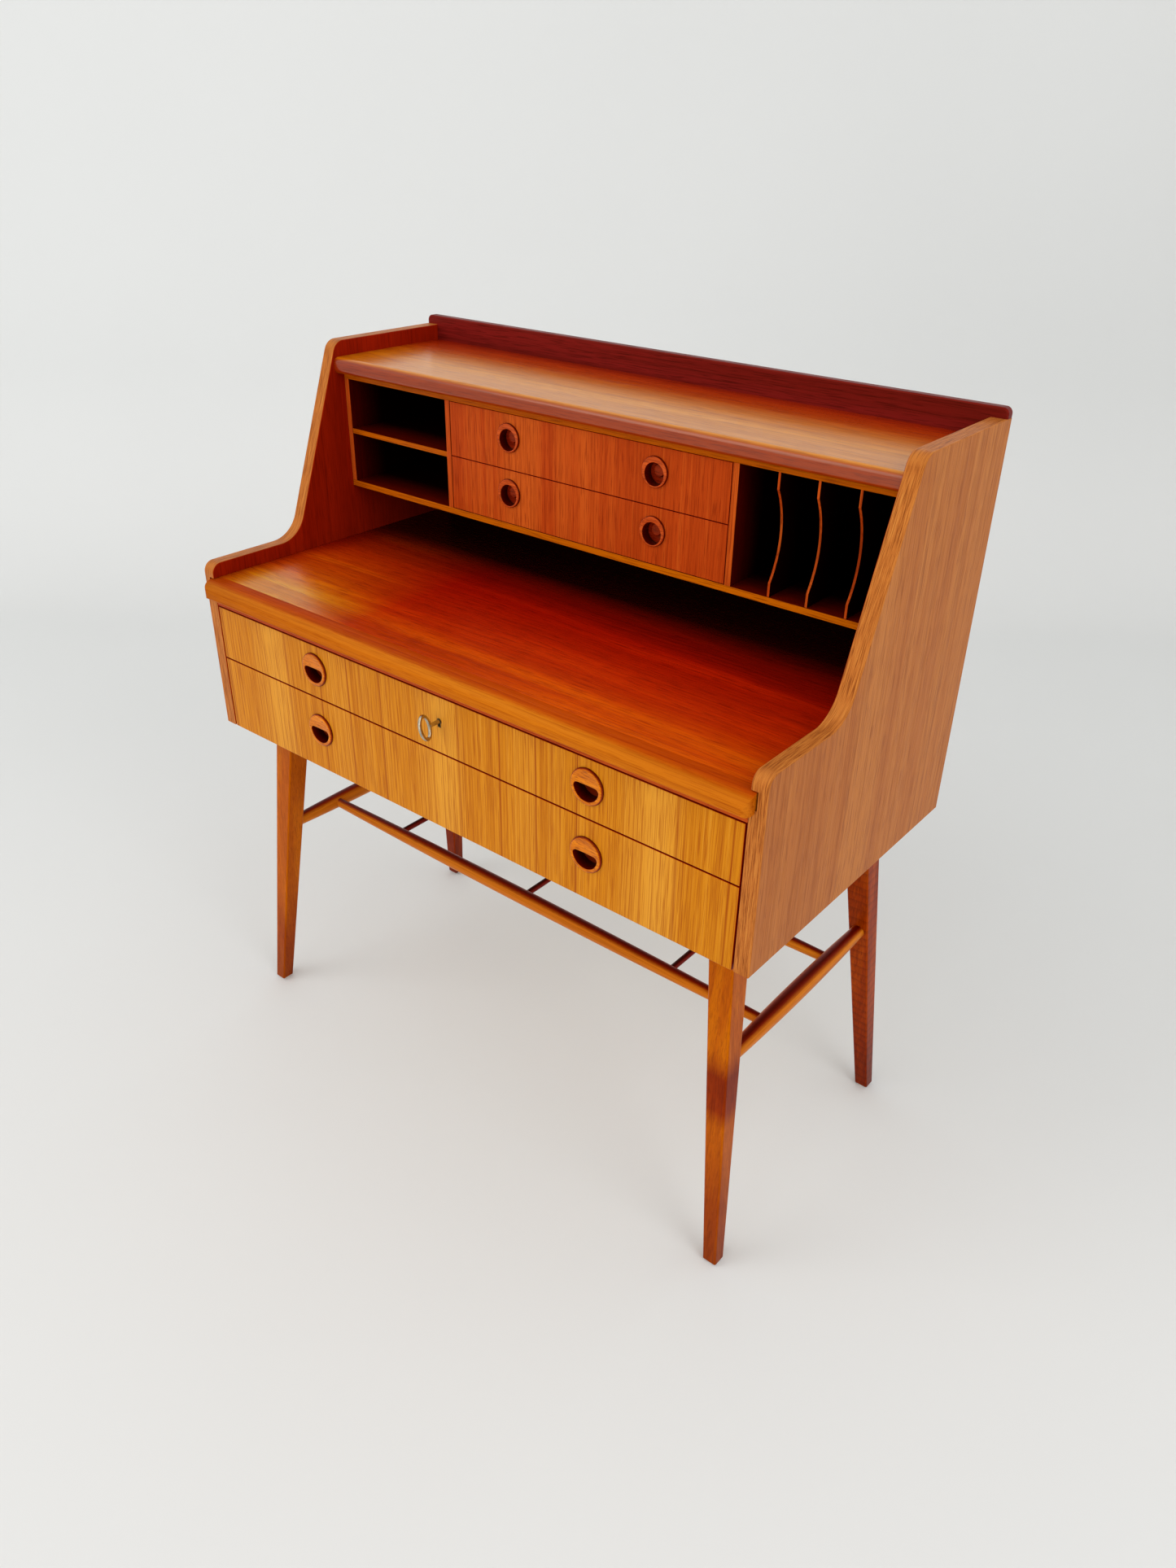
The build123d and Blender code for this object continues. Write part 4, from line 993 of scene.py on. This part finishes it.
class DESK_OT_studio(bpy.types.Operator):
    """Set up the floor, the light and the camera"""

    bl_idname = "desk.studio"
    bl_label = "Studio"

    def execute(self, context):
        scene = context.scene
        studio = scene.desk_studio
        # The floor bends up into a wall behind the desk: half its width, how far the wall is, the radius of the
        # bend and the wall's height, in metres.
        half, far, bend, high = 9.0, 2.3, 0.6, 4.0
        profile = [(-half, 0.0)]
        steps = 24
        for at in range(steps + 1):
            angle = at / steps * math.pi / 2
            profile.append((far - bend + bend * math.sin(angle), bend - bend * math.cos(angle)))
        profile.append((far, high))
        azimuth = math.radians(VIEW_TURN)
        away = Vector((-math.sin(azimuth), math.cos(azimuth), 0))
        aside = Vector((math.cos(azimuth), math.sin(azimuth), 0))
        verts = [
            side * half * aside + out * away + Vector((0, 0, up)) for out, up in profile for side in (-1, 1)
        ]
        faces = [(2 * at, 2 * at + 1, 2 * at + 3, 2 * at + 2) for at in range(len(profile) - 1)]
        mesh = bpy.data.meshes.new("studio_floor")
        mesh.from_pydata(verts, [], faces)
        mesh.shade_smooth()
        floor = bpy.data.objects.new("studio_floor", mesh)
        scene.collection.objects.link(floor)
        # Matt paint: nearly white, with a faint cloudiness.
        material, tree = new_material("painted_floor")
        where = add(tree, "ShaderNodeTexCoord").outputs["Object"]
        haze = add(tree, "ShaderNodeTexNoise", None, {"Vector": where, "Scale": 1.5, "Detail": 3.0})
        base = tuple(scene.desk_colours.floor)
        tone = add(tree, "ShaderNodeMixRGB", None,
                   {0: haze.outputs[0], 1: base, 2: tuple(0.97 * c for c in base[:3]) + (1,)})
        surface = add(tree, "ShaderNodeBsdfPrincipled", None, {"Base Color": tone.outputs[0], "Roughness": 0.7})
        add(tree, "ShaderNodeOutputMaterial", None, {"Surface": surface.outputs[0]})
        mesh.materials.append(material)

        world = bpy.data.worlds.new("studio_room")
        world.use_nodes = True
        world.node_tree.nodes.clear()
        room = add(world.node_tree, "ShaderNodeBackground", None,
                   {"Color": linear("#F4F2EF"), "Strength": studio.room_light})
        add(world.node_tree, "ShaderNodeOutputWorld", None, {"Surface": room.outputs[0]})
        scene.world = world
        middle = Vector((0, 0, 0.6))
        for name, place, size, power in (
            ("key_light", Vector((-1.7, -2.4, 3.2)), 2.4, studio.key_power),
            ("fill_light", Vector((3.0, -0.8, 2.2)), 2.0, studio.fill_power),
            ("low_light", Vector((0.2, -5.0, 1.0)), 3.0, studio.low_power),
        ):
            lamp = bpy.data.lights.new(name, "AREA")
            lamp.shape = "DISK"
            lamp.size = size
            lamp.energy = power
            light = bpy.data.objects.new(name, lamp)
            light.location = place
            light.rotation_euler = (middle - place).to_track_quat("-Z", "Y").to_euler()
            scene.collection.objects.link(light)

        data = bpy.data.cameras.new("photo_camera")
        data.lens = studio.lens
        data.sensor_width = SENSOR
        data.clip_start, data.clip_end = 0.05, 50.0
        camera = bpy.data.objects.new("photo_camera", data)
        # The camera that was fitted to the photograph: its axes and its place.
        right = Vector((0.7734, 0.6337, 0.0157))
        up = Vector((-0.3309, 0.3826, 0.8626))
        back = Vector((0.5406, -0.6724, 0.5056))
        turn = Matrix((right, up, back)).transposed().to_4x4()
        stand = (0.9538, -1.1088, 1.3309)
        camera.matrix_world = Matrix.Translation(stand) @ turn
        scene.collection.objects.link(camera)
        scene.camera = camera
        scene.view_settings.view_transform = "Standard"
        return {"FINISHED"}


OPERATORS = (
    DESK_OT_carcass,
    DESK_OT_compartments,
    DESK_OT_writing_leaf,
    DESK_OT_drawers,
    DESK_OT_pulls,
    DESK_OT_lock,
    DESK_OT_base,
    DESK_OT_screws,
    DESK_OT_dovetails,
    DESK_OT_studio,
)


class DESK_PT_finish(bpy.types.Panel):
    """Steps, colours and sizes of the desk's finish"""

    bl_idname = "DESK_PT_finish"
    bl_label = "Desk finish"
    bl_space_type = "VIEW_3D"
    bl_region_type = "UI"
    bl_category = "Desk"

    def draw(self, context):
        for operator in OPERATORS:
            self.layout.operator(operator.bl_idname)
        for group in (context.scene.desk_colours, context.scene.desk_sizes, context.scene.desk_studio):
            box = self.layout.box()
            for key in group.bl_rna.properties.keys():
                if key not in ("rna_type", "name"):
                    box.prop(group, key)


GROUPS = {"desk_colours": DeskColours, "desk_sizes": DeskSizes, "desk_studio": DeskStudio}


def register():
    for kind in (*GROUPS.values(), *OPERATORS, DESK_PT_finish):
        bpy.utils.register_class(kind)
    for name, kind in GROUPS.items():
        setattr(bpy.types.Scene, name, PointerProperty(type=kind))


def unregister():
    for name in GROUPS:
        delattr(bpy.types.Scene, name)
    for kind in reversed((*GROUPS.values(), *OPERATORS, DESK_PT_finish)):
        bpy.utils.unregister_class(kind)


def main():
    register()
    for operator in OPERATORS:
        getattr(bpy.ops.desk, operator.bl_idname.split(".")[1])()


if __name__ == "__main__":
    main()
